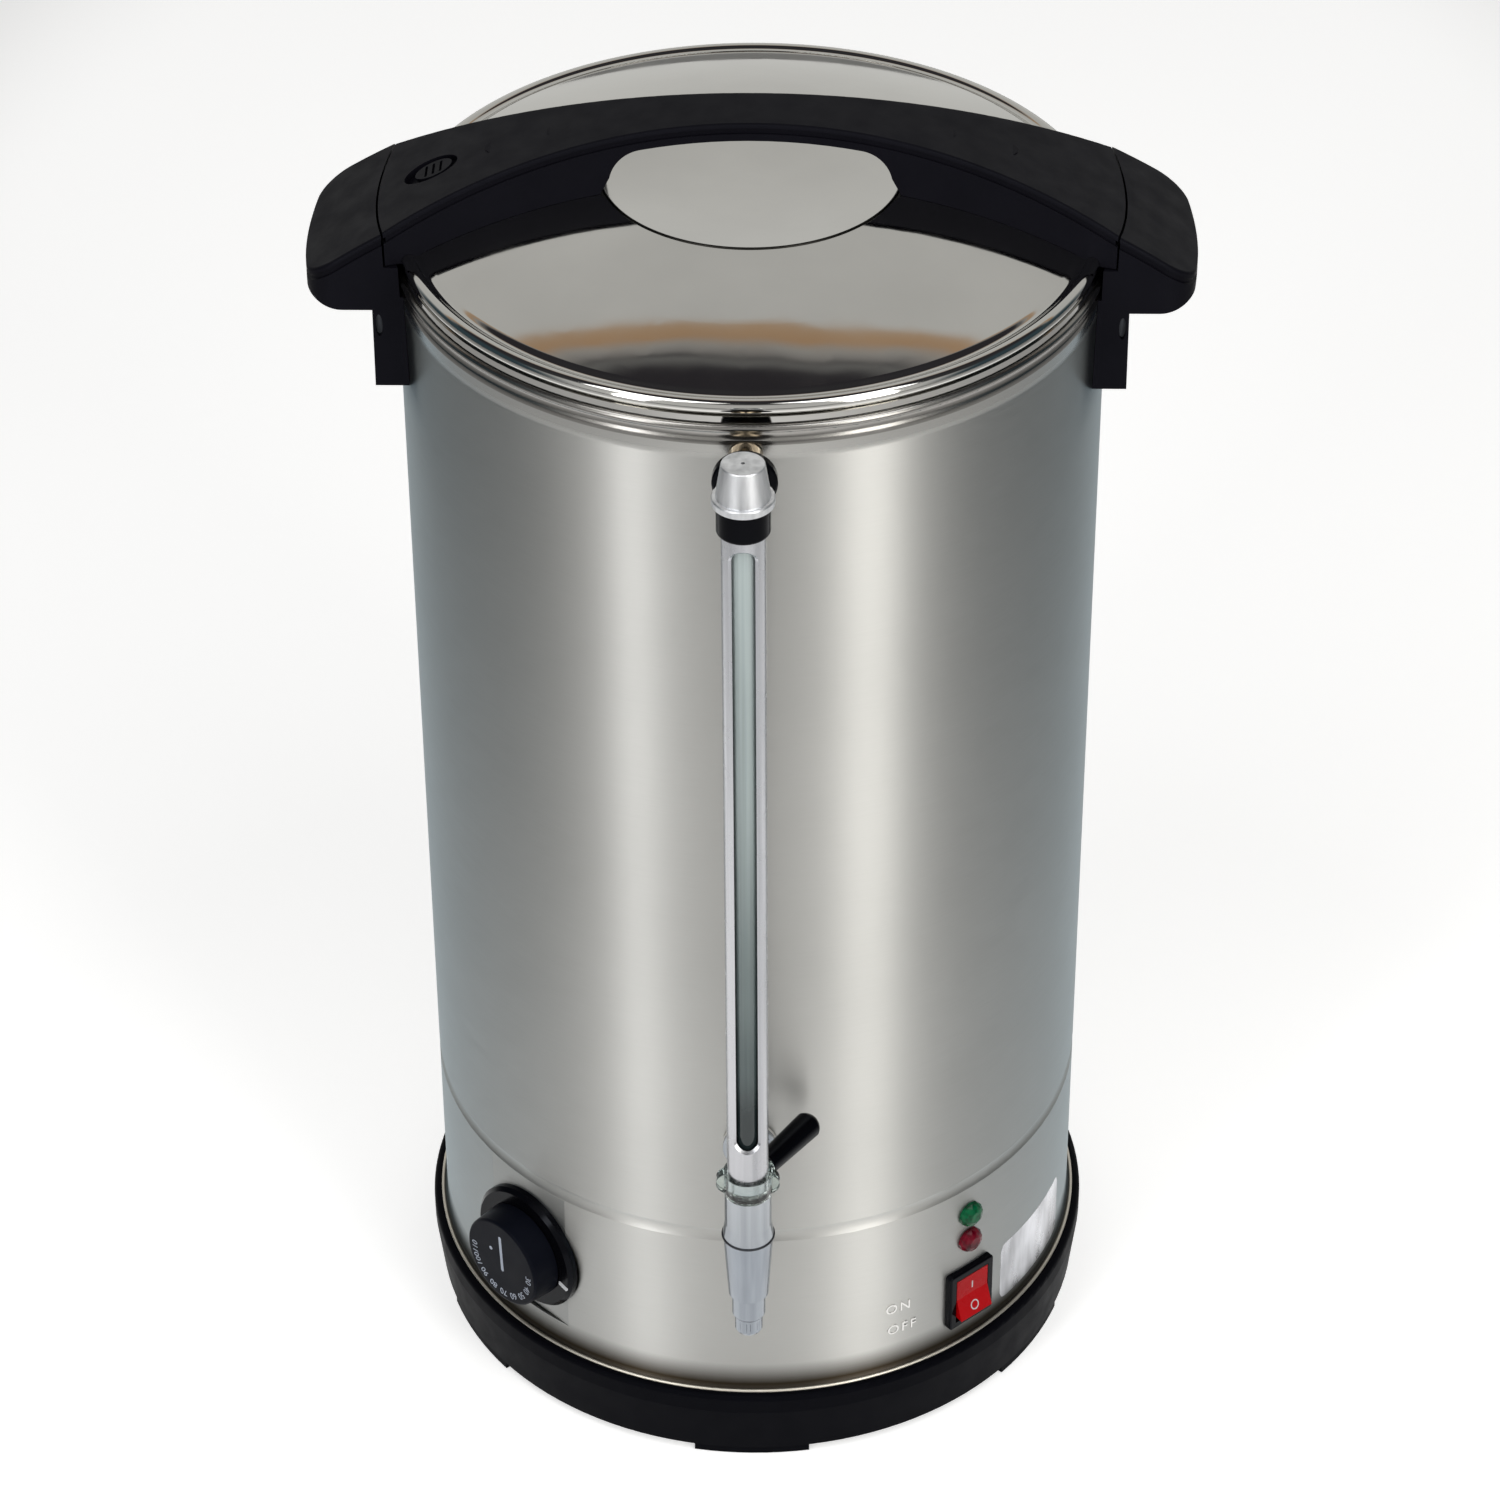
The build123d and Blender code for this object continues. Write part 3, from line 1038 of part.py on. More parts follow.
def lid_room(gap):
    """All that lies under the lid's upper face raised by a gap."""
    hem, top, top_end = lid_line(-gap)
    room = turned(*top, *path(top_end, (0, HEM_BOTTOM), (HEM_CENTRE, HEM_BOTTOM), hem))
    return room + Pos(0, 0, HEM_Z) * Torus(HEM_CENTRE, HEM_RADIUS + gap)


def lid_skirt():
    """The ring under the lid that centres it in the tank's mouth, grooved for the seal."""
    low = HEM_BOTTOM - SKIRT_DEPTH
    flange_low = RIM_TOP_Z + FREE
    skirt = turned(
        *path(
            (SKIRT_INNER, low),
            (SEAL_BORE + 0.3, low),
            (SEAL_BORE + 0.3, low + SKIRT_FOOT),
            (SKIRT_RADIUS, low + SKIRT_FOOT),
            (SKIRT_RADIUS, flange_low),
            (LID_RADIUS - 0.9, flange_low),
            (LID_RADIUS - 0.4, flange_low + 0.5),
            (LID_RADIUS - 0.4, HEM_BOTTOM),
            (SKIRT_INNER, HEM_BOTTOM),
            (SKIRT_INNER, low),
        )
    )
    return skirt


def lid_seal():
    return ring(SEAL_BORE + SEAL_THICKNESS, SEAL_BORE, SEAL_LOW, SEAL_LOW + SEAL_HEIGHT)


def bar_plan(z, inset=0.0):
    """The lid handle's plan at a height: round ends about the tank's axis and hollow flanks."""
    waist = WAIST_HALF_DEPTH + spread(z) - inset
    end = END_HALF_DEPTH + spread(z) - inset
    reach = HANDLE_END_RADIUS - inset
    x = sqrt(reach**2 - end**2)
    edges = []
    for s in (-1, 1):
        edges.append(ThreePointArc((-s * x, s * end), (0, s * waist), (s * x, s * end)))
        edges.append(ThreePointArc((s * x, -end), (s * reach, 0), (s * x, end)))
    return Pos(0, 0, z) * make_face(edges)


def bar_solid(inset):
    """The lid handle's outer form before the grip is cut, moved in by an inset on every side."""
    low, high = HANDLE_END_Z - 10, ARCH_TOP_Z + 10
    body = loft([bar_plan(low, inset), bar_plan(high, inset)], ruled=True)
    return body & under_arch(ARCH_RADIUS - inset)


def under_arch(radius):
    """All that lies inside the long arch, as a cylinder along Y."""
    return Pos(0, 0, ARCH_CENTRE_Z) * (Rot(90, 0, 0) * Cylinder(radius, 4 * SIDE_HALF_DEPTH))


def shadow_groove(form):
    """The groove that runs round a handle under its top face, for the handle's form at an inset."""
    high, low = [under_arch(ARCH_RADIUS - drop) for drop in GROOVE_DROPS]
    return (form(0) - form(GROOVE_DEPTH)) & (high - low)


def grip_cut(inset=0.0):
    """The opening under the middle of the bar."""
    a, b, c = [half + inset for half in GRIP_HALF_WIDTHS]
    za, zb, zc = [GRIP_TOP_Z - drop for drop in GRIP_DROPS]
    top, zc = GRIP_TOP_Z + inset, zc + inset
    low = DISH_EDGE_Z - DISH_DEPTH - 10
    knee = ((b + c) / 2 + GRIP_BOW[0], (zb + zc) / 2 + GRIP_BOW[1])
    outline = make_face(
        [
            *path((-b, zb), (-a, za), (-a, low), (a, low), (a, za), (b, zb)),
            ThreePointArc((b, zb), knee, (c, zc)),
            ThreePointArc((c, zc), (0, top), (-c, zc)),
            ThreePointArc((-c, zc), (-knee[0], knee[1]), (-b, zb)),
        ]
    )
    return extrude(Plane.XZ * outline, 2 * SIDE_HALF_DEPTH, both=True)


def lock_plane():
    """The plane on the arch at the lock: X points down the arch towards the side handle."""
    slope = asin(abs(LOCK_X) / ARCH_RADIUS)
    return Plane(
        origin=(LOCK_X, 0, arch_z(LOCK_X)),
        x_dir=(-cos(slope), 0, -sin(slope)),
        z_dir=(-sin(slope), 0, cos(slope)),
    )


def oval(axes, low, high, x=0.0):
    return extrude(Pos(x, 0, low) * Ellipse(*axes), high - low)


def tongue_room(gap, reach):
    """The space that the lock's tongue slides in."""
    half = LOCK_TONGUE_WIDTH / 2 + gap
    high = -LOCK_TONGUE_DEPTH + gap
    low = -LOCK_TONGUE_DEPTH - LOCK_TONGUE_THICKNESS - gap
    return lock_plane() * block((-12, reach), (-half, half), (low, high))


def lid_handle():
    """The black bar across the lid: a hollow moulding with screw bosses and the lock's recess."""
    outer = bar_solid(0)
    outer = fillet(outer.edges().filter_by(lambda e: on_arch_edge(e)), HANDLE_EDGE)
    outer -= shadow_groove(bar_solid)
    hollow = bar_solid(HANDLE_WALL) - grip_cut(HANDLE_WALL)
    handle = outer - hollow
    for side in (-1, 1):
        for x in LID_BOSS_X:
            boss = disc(LID_BOSS_RADIUS, HEM_Z, arch_z(x) - 1)
            boss -= disc(LID_SCREW_RADIUS, HEM_Z, arch_z(x) - 6)
            handle += Pos(side * x, 0, 0) * boss
    handle -= grip_cut()
    handle -= lid_room(SEAT)
    handle -= disc(2 * HANDLE_END_RADIUS, HANDLE_END_Z - 60, HANDLE_END_Z)
    handle += lock_plane() * oval([a + 1.8 for a in LOCK_RECESS], -LOCK_RECESS_DEPTH - 1.6, -1.4)
    handle -= lock_plane() * oval(LOCK_RECESS, -LOCK_RECESS_DEPTH, 5)
    length, width = LOCK_STEM
    stem_slot = block(
        (-length / 2 - LOCK_REST - FREE, length / 2 - LOCK_REST + LOCK_TRAVEL + FREE),
        (-width / 2 - FREE, width / 2 + FREE),
        (-12, 0),
    )
    handle -= lock_plane() * stem_slot
    return handle - tongue_room(FREE, 40)


def on_arch_edge(edge):
    """True for the two long curved edges where the arch meets the flanks."""
    middle = edge.position_at(0.5)
    high = abs(middle.Z - ARCH_TOP_Z) < 2
    return high and edge.length > HANDLE_END_RADIUS


def lid_handle_screws():
    """Screws from under the lid into the handle's bosses."""
    screws = []
    for side in (-1, 1):
        for x in LID_BOSS_X:
            z = lid_underside(x)
            screw = pan_head(LID_SCREW_RADIUS - SEAT / 2, *LID_SCREW_HEAD, LID_SCREW_LENGTH)
            screws.append(Pos(side * x, 0, z) * screw)
    return group(screws)


def lid_underside(x):
    """Height of the dome's lower face on the X axis, less the gap that its slope leaves."""
    share = (DOME_RADIUS - x) / (DOME_RADIUS - DISH_RADIUS)
    chord_z = DOME_START_Z + share * (DISH_EDGE_Z - DOME_START_Z)
    bow = DOME_CROWN * 4 * share * (1 - share)
    return chord_z + bow - LID_SHEET - 1.5


def lid_lock():
    """The thumb slide: a ribbed oval knob, a stem and the tongue that enters the side handle."""
    knob = oval(LOCK_KNOB, -LOCK_RECESS_DEPTH + FREE, -0.3, x=-LOCK_REST)
    for i in (-1, 0, 1):
        x = i * LOCK_RIB_PITCH - LOCK_REST
        groove = block((x - LOCK_RIB_WIDTH / 2, x + LOCK_RIB_WIDTH / 2), (-4.2, 4.2), (-1.5, 1))
        knob -= groove
    length, width = LOCK_STEM
    stem = block(
        (-length / 2 - LOCK_REST, length / 2 - LOCK_REST),
        (-width / 2, width / 2),
        (-LOCK_TONGUE_DEPTH - 0.5, -LOCK_RECESS_DEPTH + 1),
    )
    tip = tongue_tip()
    tongue = block(
        (-9, tip),
        (-LOCK_TONGUE_WIDTH / 2, LOCK_TONGUE_WIDTH / 2),
        (-LOCK_TONGUE_DEPTH - LOCK_TONGUE_THICKNESS, -LOCK_TONGUE_DEPTH),
    )
    return lock_plane() * (knob + stem + tongue)


def tongue_tip():
    """How far along the lock's slide the tongue reaches, just short of the seam at rest."""
    plane = lock_plane()
    depth = LOCK_TONGUE_DEPTH + LOCK_TONGUE_THICKNESS / 2
    start = plane.origin - plane.z_dir * depth
    seam = sqrt(HANDLE_END_RADIUS**2 - (LOCK_TONGUE_WIDTH / 2) ** 2)
    return (seam - abs(start.X)) / abs(plane.x_dir.X) - 0.6


# ---- side handles -----------------------------------------------------------------------------
def side_plan(z, inset=0.0):
    """A side handle's plan at a height, on the +X side."""
    half = SIDE_HALF_DEPTH + spread(z) - inset
    reach = SIDE_REACH - inset
    shoulder = reach - SIDE_BULGE
    start = TANK_RADIUS - 30
    face = make_face(
        [
            *path((start, half), (start, -half), (shoulder, -half)),
            ThreePointArc((shoulder, -half), (reach, 0), (shoulder, half)),
            Line((shoulder, half), (start, half)),
        ]
    )
    corners = face.vertices().group_by(Axis.X)[-1]
    return Pos(0, 0, z) * fillet(corners, SIDE_CORNER - inset)


def side_form(inset):
    """The drafted block that a side handle is cut from, under the long arch."""
    low, high = LEG_BOTTOM_Z - 10, ARCH_TOP_Z
    body = loft([side_plan(low, inset), side_plan(high, inset)], ruled=True)
    return body & under_arch(ARCH_RADIUS - inset)


def side_profile(outline):
    """A prism along Y from an outline drawn as (x, z)."""
    return extrude(Plane.XZ * make_face(outline), 3 * SIDE_HALF_DEPTH, both=True)


def side_handle(side):
    """A side handle: an arched hollow grip, open underneath, on a ribbed leg against the wall."""
    low = LEG_BOTTOM_Z
    edge = SIDE_REACH + 1
    bend = (SIDE_REACH - SIDE_CURVE, SIDE_BOTTOM_Z)
    lip = (edge, SIDE_BOTTOM_Z + SIDE_LIP_RISE)
    keep = side_profile(
        [
            *path(
                (TANK_RADIUS - 30, low),
                (LEG_OUTER_X, low),
                (LEG_OUTER_X, SIDE_BOTTOM_Z),
                bend,
            ),
            TangentArc(bend, lip, tangent=(1, 0)),
            *path(
                lip,
                (edge, ARCH_TOP_Z),
                (TANK_RADIUS - 30, ARCH_TOP_Z),
                (TANK_RADIUS - 30, low),
            ),
        ]
    )
    form = side_form(0) & keep
    form = fillet(form.edges().filter_by(lambda e: on_side_edge(e)), HANDLE_EDGE)
    form -= shadow_groove(side_form)
    hollow = side_form(SIDE_WALL) & block((LEG_OUTER_X, edge), (-edge, edge), (low, ARCH_TOP_Z))
    form -= hollow - disc(SIDE_SEAM_RADIUS + SIDE_WALL, HANDLE_END_Z - SIDE_WALL, ARCH_TOP_Z)
    recess_y = SIDE_HALF_DEPTH + spread(SIDE_BOTTOM_Z) - LEG_RIB
    recess_x = TANK_RADIUS + LEG_PLATE, LEG_OUTER_X + 1
    form -= block(recess_x, (-recess_y, recess_y), (low + LEG_RIB, SIDE_BOTTOM_Z - 2))
    form -= rib_notch()
    form -= disc(TANK_RADIUS + SEAT, low - 10, HANDLE_END_Z)
    form -= disc(TANK_RADIUS + CURL_OVERHANG + 2 * FREE, CURL_Z - 6, HANDLE_END_Z)
    form -= disc(SIDE_SEAM_RADIUS, HANDLE_END_Z - 2 * FREE, ARCH_TOP_Z)
    for y in (-HANDLE_SCREW_Y, HANDLE_SCREW_Y):
        hole = Rot(0, 90, 0) * Cylinder(HANDLE_SCREW_RADIUS + SEAT, 60)
        form -= Pos(TANK_RADIUS, y, HANDLE_SCREW_Z) * hole
    if side < 0:
        form = mirror(form, Plane.YZ)
        form -= tongue_room(FREE, tongue_tip() + LOCK_TRAVEL + 1.0)
    return form


def rib_notch():
    """The small oval window near the top of the leg's ribs."""
    notch = Pos(LEG_OUTER_X - 2.6, SIDE_BOTTOM_Z - 7) * Ellipse(*LEG_NOTCH)
    return extrude(Plane.XZ * notch, 3 * SIDE_HALF_DEPTH, both=True)


def on_side_edge(edge):
    """True for the long upper edges where the arch meets a side handle's flanks and end."""
    middle = edge.position_at(0.5)
    return abs(middle.Z - arch_z(middle.X)) < 1.0 and edge.length > 8 and middle.X > TANK_RADIUS


def side_handle_screws():
    """Screws that pass through the legs and the wall into the backing plates."""
    screws = []
    plate_x = TANK_RADIUS + LEG_PLATE
    for side in (-1, 1):
        for y in (-HANDLE_SCREW_Y, HANDLE_SCREW_Y):
            screw = pan_head(HANDLE_SCREW_RADIUS - SEAT / 2, *HANDLE_SCREW_HEAD, HANDLE_SCREW_LENGTH)
            turn = Rot(0, -side * 90, 0)
            screws.append(Pos(side * plate_x, y, HANDLE_SCREW_Z) * (turn * screw))
    return group(screws)


def handle_backing(side):
    """The steel strip inside the tank that the side handle's screws draw against."""
    outer = INNER_RADIUS - SEAT
    z = HANDLE_SCREW_Z - BACKING_HEIGHT / 2, HANDLE_SCREW_Z + BACKING_HEIGHT / 2
    strip = ring(outer, outer - BACKING_THICKNESS, *z)
    strip &= block((0, TANK_RADIUS), (-BACKING_WIDTH / 2, BACKING_WIDTH / 2), z)
    for y in (-HANDLE_SCREW_Y, HANDLE_SCREW_Y):
        nut = Rot(0, -90, 0) * Cylinder(HANDLE_SCREW_RADIUS * 1.9, 5, align=MIN)
        strip += Pos(outer - BACKING_THICKNESS - 1.4, y, HANDLE_SCREW_Z) * nut
        strip -= Pos(outer, y, HANDLE_SCREW_Z) * (Rot(0, 90, 0) * Cylinder(HANDLE_SCREW_RADIUS, 20))
    return strip if side > 0 else mirror(strip, Plane.YZ)


# ---- the assembly -----------------------------------------------------------------------------
def nodes():
    return {
        "tank_shell": tank_shell(),
        "tank_floor": tank_floor(),
        "base_ring": base_ring(),
        "bottom_cover": bottom_cover(),
        "bottom_cover_screws": cover_screws(),
        "tie_studs": tie_studs(),
        "tie_nuts": tie_nuts(),
        "heat_spreader": heat_spreader(),
        "boil_element": element(BOIL_RING_RADIUS, BOIL_TUBE_RADIUS),
        "keep_warm_element": element(WARM_RING_RADIUS, WARM_TUBE_RADIUS),
        "boil_dry_cutout": boil_dry_cutout(),
        "thermostat_body": thermostat_body(),
        "thermostat_spindle": thermostat_spindle(),
        "thermostat_capillary": thermostat_capillary(),
        "thermostat_knob": thermostat_knob(),
        "dial_plate": dial_plate(),
        "dial_plate_screws": dial_plate_screws(),
        "switch_housing": switch_housing(),
        "rocker_switch": rocker_switch(),
        "lamp_green": lamp(LAMP_Z["lamp_green"]),
        "lamp_red": lamp(LAMP_Z["lamp_red"]),
        "lamp_clips": lamp_clips(),
        "terminal_block": terminal_block(),
        "cord_gland": cord_gland(),
        "gland_nut": gland_nut(),
        "tap_body": tap_body(),
        "tap_gasket_outer": tap_gasket_outer(),
        "tap_gasket_inner": tap_gasket_inner(),
        "tap_nut": tap_nut(),
        "valve_seat": valve_seat(),
        "valve_plug": valve_plug(),
        "lever_ring": lever_ring(),
        "lever_core": lever_core(),
        "tap_lever": tap_lever(),
        "spout": spout(),
        "spout_seal": spout_seal(),
        "sight_glass": sight_glass(),
        "sight_glass_seals": sight_glass_seals(),
        "sight_guard": sight_guard(),
        "top_collar": top_collar(),
        "top_cap": top_cap(),
        "bracket_stud": bracket_stud(),
        "bracket_nut": bracket_nut(),
        "lid_dome": lid_dome(),
        "lid_skirt": lid_skirt(),
        "lid_seal": lid_seal(),
        "lid_handle": lid_handle(),
        "lid_handle_screws": lid_handle_screws(),
        "lid_lock": lid_lock(),
        "side_handle_left": side_handle(-1),
        "side_handle_right": side_handle(1),
        "side_handle_screws": side_handle_screws(),
        "handle_backing_left": handle_backing(-1),
        "handle_backing_right": handle_backing(1),
    }


def main():
    os.makedirs("parts", exist_ok=True)
    for name, shape in nodes().items():
        export_step(shape, f"parts/{name}.step")


main()
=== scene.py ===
import json
from math import asin, atan2, cos, degrees, pi, radians, sin

import bmesh
import bpy
from mathutils import Matrix, Vector
from mathutils.bvhtree import BVHTree


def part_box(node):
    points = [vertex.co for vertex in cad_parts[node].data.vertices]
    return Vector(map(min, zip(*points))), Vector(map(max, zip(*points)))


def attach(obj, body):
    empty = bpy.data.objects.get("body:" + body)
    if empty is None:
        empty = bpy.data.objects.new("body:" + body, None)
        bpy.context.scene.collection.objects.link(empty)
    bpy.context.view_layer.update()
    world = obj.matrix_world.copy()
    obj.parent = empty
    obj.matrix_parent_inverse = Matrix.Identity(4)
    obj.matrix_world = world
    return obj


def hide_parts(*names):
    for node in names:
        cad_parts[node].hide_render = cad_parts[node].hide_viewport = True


# The urn's looks: finishes, smooth trim, stamped and printed marks, soft light and the camera.
# Lengths are in metres. The tank stands on the Z axis and its tap is in front, at -Y.
# An azimuth is counted from the front, positive towards +X.

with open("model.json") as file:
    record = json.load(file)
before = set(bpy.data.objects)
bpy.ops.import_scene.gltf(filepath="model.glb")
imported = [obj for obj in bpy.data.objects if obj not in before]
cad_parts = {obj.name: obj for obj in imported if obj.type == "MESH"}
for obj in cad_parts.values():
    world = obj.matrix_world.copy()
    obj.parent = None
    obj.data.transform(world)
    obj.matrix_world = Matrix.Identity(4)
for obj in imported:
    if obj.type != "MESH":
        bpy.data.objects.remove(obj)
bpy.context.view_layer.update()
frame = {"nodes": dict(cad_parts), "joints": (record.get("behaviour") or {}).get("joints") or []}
NODES = frame["nodes"]

MM = 0.001

# ---- places that the dressing shares with the model --------------------------------------------
JOINTS = {joint["name"]: joint for joint in frame["joints"]}
DIAL_PLACE = Vector(JOINTS["thermostat_dial"]["pos_m"])
DIAL_AXIS = Vector(JOINTS["thermostat_dial"]["axis"])
SWITCH_PLACE = Vector(JOINTS["power_rocker"]["pos_m"])
COLUMN_PLACE = Vector(JOINTS["tap_lever"]["pos_m"])
DIAL_AZIMUTH = atan2(DIAL_AXIS.x, -DIAL_AXIS.y)
PANEL_AZIMUTH = atan2(SWITCH_PLACE.x, -SWITCH_PLACE.y)
TANK_RADIUS = 150 * MM


def direction(azimuth, elevation=0.0):
    """The unit vector at an azimuth and an elevation."""
    flat = cos(elevation)
    return Vector((sin(azimuth) * flat, -cos(azimuth) * flat, sin(elevation)))


# ---- shapes and pieces ------------------------------------------------------------------------
def circle_turns(steps, shift=0.0):
    """Angles evenly round a circle, shifted by a share of a step."""
    return [2 * pi * (i + shift) / steps for i in range(steps)]


def bridge(shape, near, far, closed=True):
    """Faces between two rows of points, which close into rings unless told not to."""
    count = len(near)
    for i in range(count if closed else count - 1):
        j = (i + 1) % count
        shape.faces.new((near[i], near[j], far[j], far[i]))


def mesh_of(name, shape, outward=True):
    """The mesh of a finished bmesh, with its faces turned outward."""
    if outward:
        bmesh.ops.recalc_face_normals(shape, faces=shape.faces)
    mesh = bpy.data.meshes.new(name)
    shape.to_mesh(mesh)
    shape.free()
    return mesh


def put_in_scene(name, data):
    """A new object in the scene."""
    thing = bpy.data.objects.new(name, data)
    bpy.context.scene.collection.objects.link(thing)
    return thing


def make_piece(name, mesh, body, finish):
    """A piece that rides on a body, with a finish."""
    mesh.materials.append(finish.material)
    piece = put_in_scene(name, mesh)
    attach(piece, body)
    return piece


def smooth_piece(name, shape, body, finish, angle=35):
    """A piece with soft shading, sharp where faces meet at more than an angle."""
    mesh = mesh_of(name, shape)
    mesh.shade_smooth()
    mesh.set_sharp_from_angle(angle=radians(angle))
    return make_piece(name, mesh, body, finish)


# ---- camera -----------------------------------------------------------------------------------
SENSOR = 36.0                  # mm, as is the lens
LENS = 116.715
CAMERA_AZIMUTH = radians(1.2)
CAMERA_ELEVATION = radians(36.75)
CAMERA_ROLL = radians(0.35)
CAMERA_DISTANCE = 2.21175
CAMERA_REACH = 50.0
CAMERA_TARGET = Vector((-0.0021, 0, 0.29445))


def make_camera():
    """A long lens, from above the front."""
    back = direction(CAMERA_AZIMUTH, CAMERA_ELEVATION)
    right = direction(CAMERA_AZIMUTH + pi / 2)
    up = back.cross(right)
    data = bpy.data.cameras.new("camera")
    data.lens = LENS
    data.sensor_width = SENSOR
    data.clip_end = CAMERA_REACH
    camera = put_in_scene("camera", data)
    turned_right = right * cos(CAMERA_ROLL) - up * sin(CAMERA_ROLL)
    turned_up = right * sin(CAMERA_ROLL) + up * cos(CAMERA_ROLL)
    camera.matrix_world = Matrix.Translation(CAMERA_TARGET + back * CAMERA_DISTANCE) @ Matrix(
        (turned_right, turned_up, back)
    ).transposed().to_4x4()
    bpy.context.scene.camera = camera


# ---- light ------------------------------------------------------------------------------------
LIGHT_TARGET = Vector((0, 0, 0.3))
WHITE = (1, 1, 1)
# Two tall front strips, and a broad light high above each: name, azimuth and elevation in
# degrees, distance, width and height, power and colour.
LIGHTS = [
    ("strip_left", -34.5, 22, 2.0, (0.34, 1.6), 9.0, WHITE),
    ("strip_right", 35.5, 22, 2.0, (0.54, 1.6), 13.0, (1, 0.985, 0.95)),
    ("high_left", -42, 60, 2.2, (0.9, 0.9), 9.0, WHITE),
    ("high_right", 42, 60, 2.2, (0.9, 0.9), 9.0, WHITE),
]


def soft_light(name, azimuth, elevation, distance, size, power, color):
    """A rectangular soft light that looks at the middle of the urn."""
    data = bpy.data.lights.new(name, "AREA")
    data.shape = "RECTANGLE"
    data.size, data.size_y = size
    data.energy = power
    data.color = color
    light = put_in_scene(name, data)
    aim = direction(radians(azimuth), radians(elevation))
    light.location = LIGHT_TARGET + aim * distance
    light.rotation_euler = aim.to_track_quat("Z", "Y").to_euler()


# The room's colour from the wall behind the urn (0), overhead (0.5) and down in front (1).
ROOM_OVER = [
    (0.0, (0.70, 0.70, 0.68)),
    (0.341, (0.60, 0.60, 0.58)),
    (0.349, (0.47, 0.32, 0.20)),
    (0.359, (0.45, 0.29, 0.17)),
    (0.366, (0.36, 0.35, 0.33)),
    (0.374, (0.28, 0.27, 0.26)),
    (0.378, (0.06, 0.058, 0.06)),
    (0.382, (0.18, 0.18, 0.175)),
    (0.392, (0.03, 0.028, 0.032)),
    (0.66, (0.04, 0.04, 0.042)),
    (0.78, (0.60, 0.60, 0.585)),
    (1.0, (0.64, 0.64, 0.625)),
]
ROOM_SIDE = (0.040, 0.066, 0.080)
ROOM_SIDE_STOPS = [(0.74, 0.0), (0.93, 1.0)]    # how far out to the side that colour takes over
ROOM_BEND = 0.15       # how far the room's lines bend down to the sides
ROOM_BEND_MOST = 0.05
ROOM_WOBBLE = 0.035    # how far they wander
ROOM_WOBBLE_SCALE = 3.0


class Tree:
    """A node tree with short calls for its nodes."""

    def __init__(self, tree):
        self.nodes, self.links = tree.nodes, tree.links

    def add(self, kind, inputs=(), **settings):
        """A node with its inputs, each a value or another node's output, and its settings."""
        node = self.nodes.new("ShaderNode" + kind)
        for key, value in settings.items():
            setattr(node, key, value)
        for key, value in dict(inputs).items():
            if isinstance(value, bpy.types.NodeSocket):
                self.links.new(value, node.inputs[key])
            else:
                node.inputs[key].default_value = value
        return node

    def math(self, operation, a, b=0.0):
        return self.add("Math", {0: a, 1: b}, operation=operation).outputs[0]

    def vector(self, operation, a, b):
        return self.add("VectorMath", {0: a, 1: b}, operation=operation).outputs[0]

    def ramp(self, value, stops, interpolation="EASE"):
        """Colours, or grey levels, along a value between 0 and 1."""
        node = self.add("ValToRGB", {0: value})
        node.color_ramp.interpolation = interpolation
        elements = node.color_ramp.elements
        elements[0].position, elements[-1].position = stops[0][0], stops[-1][0]
        inner = [elements.new(place) for place, _ in stops[1:-1]]
        for element, (_, color) in zip([elements[0], *inner, elements[-1]], stops):
            level = color if isinstance(color, tuple) else (color, color, color)
            element.color = (*level, 1)
        return node.outputs[0]

    def mix(self, factor, a, b):
        """The blend of two colours."""
        node = self.add("Mix", {0: factor}, data_type="RGBA")
        color_a, color_b = [s for s in node.inputs if s.name in "AB" and s.type == "RGBA"]
        for socket, value in ((color_a, a), (color_b, b)):
            if isinstance(value, bpy.types.NodeSocket):
                self.links.new(value, socket)
            else:
                socket.default_value = (*value, 1)
        return [s for s in node.outputs if s.type == "RGBA"][0]


def make_world():
    """A room: pale behind the urn and grey in front, dark overhead and at the sides."""
    world = bpy.data.worlds.new("studio")
    bpy.context.scene.world = world
    world.use_nodes = True
    tree = Tree(world.node_tree)
    place = tree.add("TexCoord").outputs["Generated"]
    axes = tree.add("SeparateXYZ", {0: place}).outputs
    over = tree.math("DIVIDE", tree.math("ARCTAN2", axes["Z"], axes["Y"]), pi)
    noise = {"Vector": place, "Scale": ROOM_WOBBLE_SCALE, "Detail": 2.0}
    wobble = tree.math("SUBTRACT", tree.add("TexNoise", noise).outputs[0], 0.5)
    over = tree.math("ADD", over, tree.math("MULTIPLY", wobble, ROOM_WOBBLE))
    bend = tree.math("MULTIPLY", tree.math("MULTIPLY", axes["X"], axes["X"]), ROOM_BEND)
    over = tree.math("ADD", over, tree.math("MINIMUM", bend, ROOM_BEND_MOST))
    side = tree.ramp(tree.math("ABSOLUTE", axes["X"]), ROOM_SIDE_STOPS)
    background = tree.nodes["Background"]
    color = tree.mix(side, tree.ramp(over, ROOM_OVER), ROOM_SIDE)
    tree.links.new(color, background.inputs["Color"])
    background.inputs["Strength"].default_value = 1.0


# ---- floor ------------------------------------------------------------------------------------
FLOOR_RADIUS = 6.0
FLOOR_STEPS = 96
FLOOR_COLOR = (0.86, 0.86, 0.86)
FLOOR_FAR = (0.60, 0.60, 0.60)
FLOOR_GLOW = 0.51
FLOOR_MIDDLE = Vector((0, 0.5, 0))   # of the oval that stays pale
FLOOR_OVAL = Vector((0.62, 1.15, 1)) * 2
FLOOR_STOPS = [(0.45, 0.0), (0.8, 1.0)]      # the floor's change outward, as a share of that


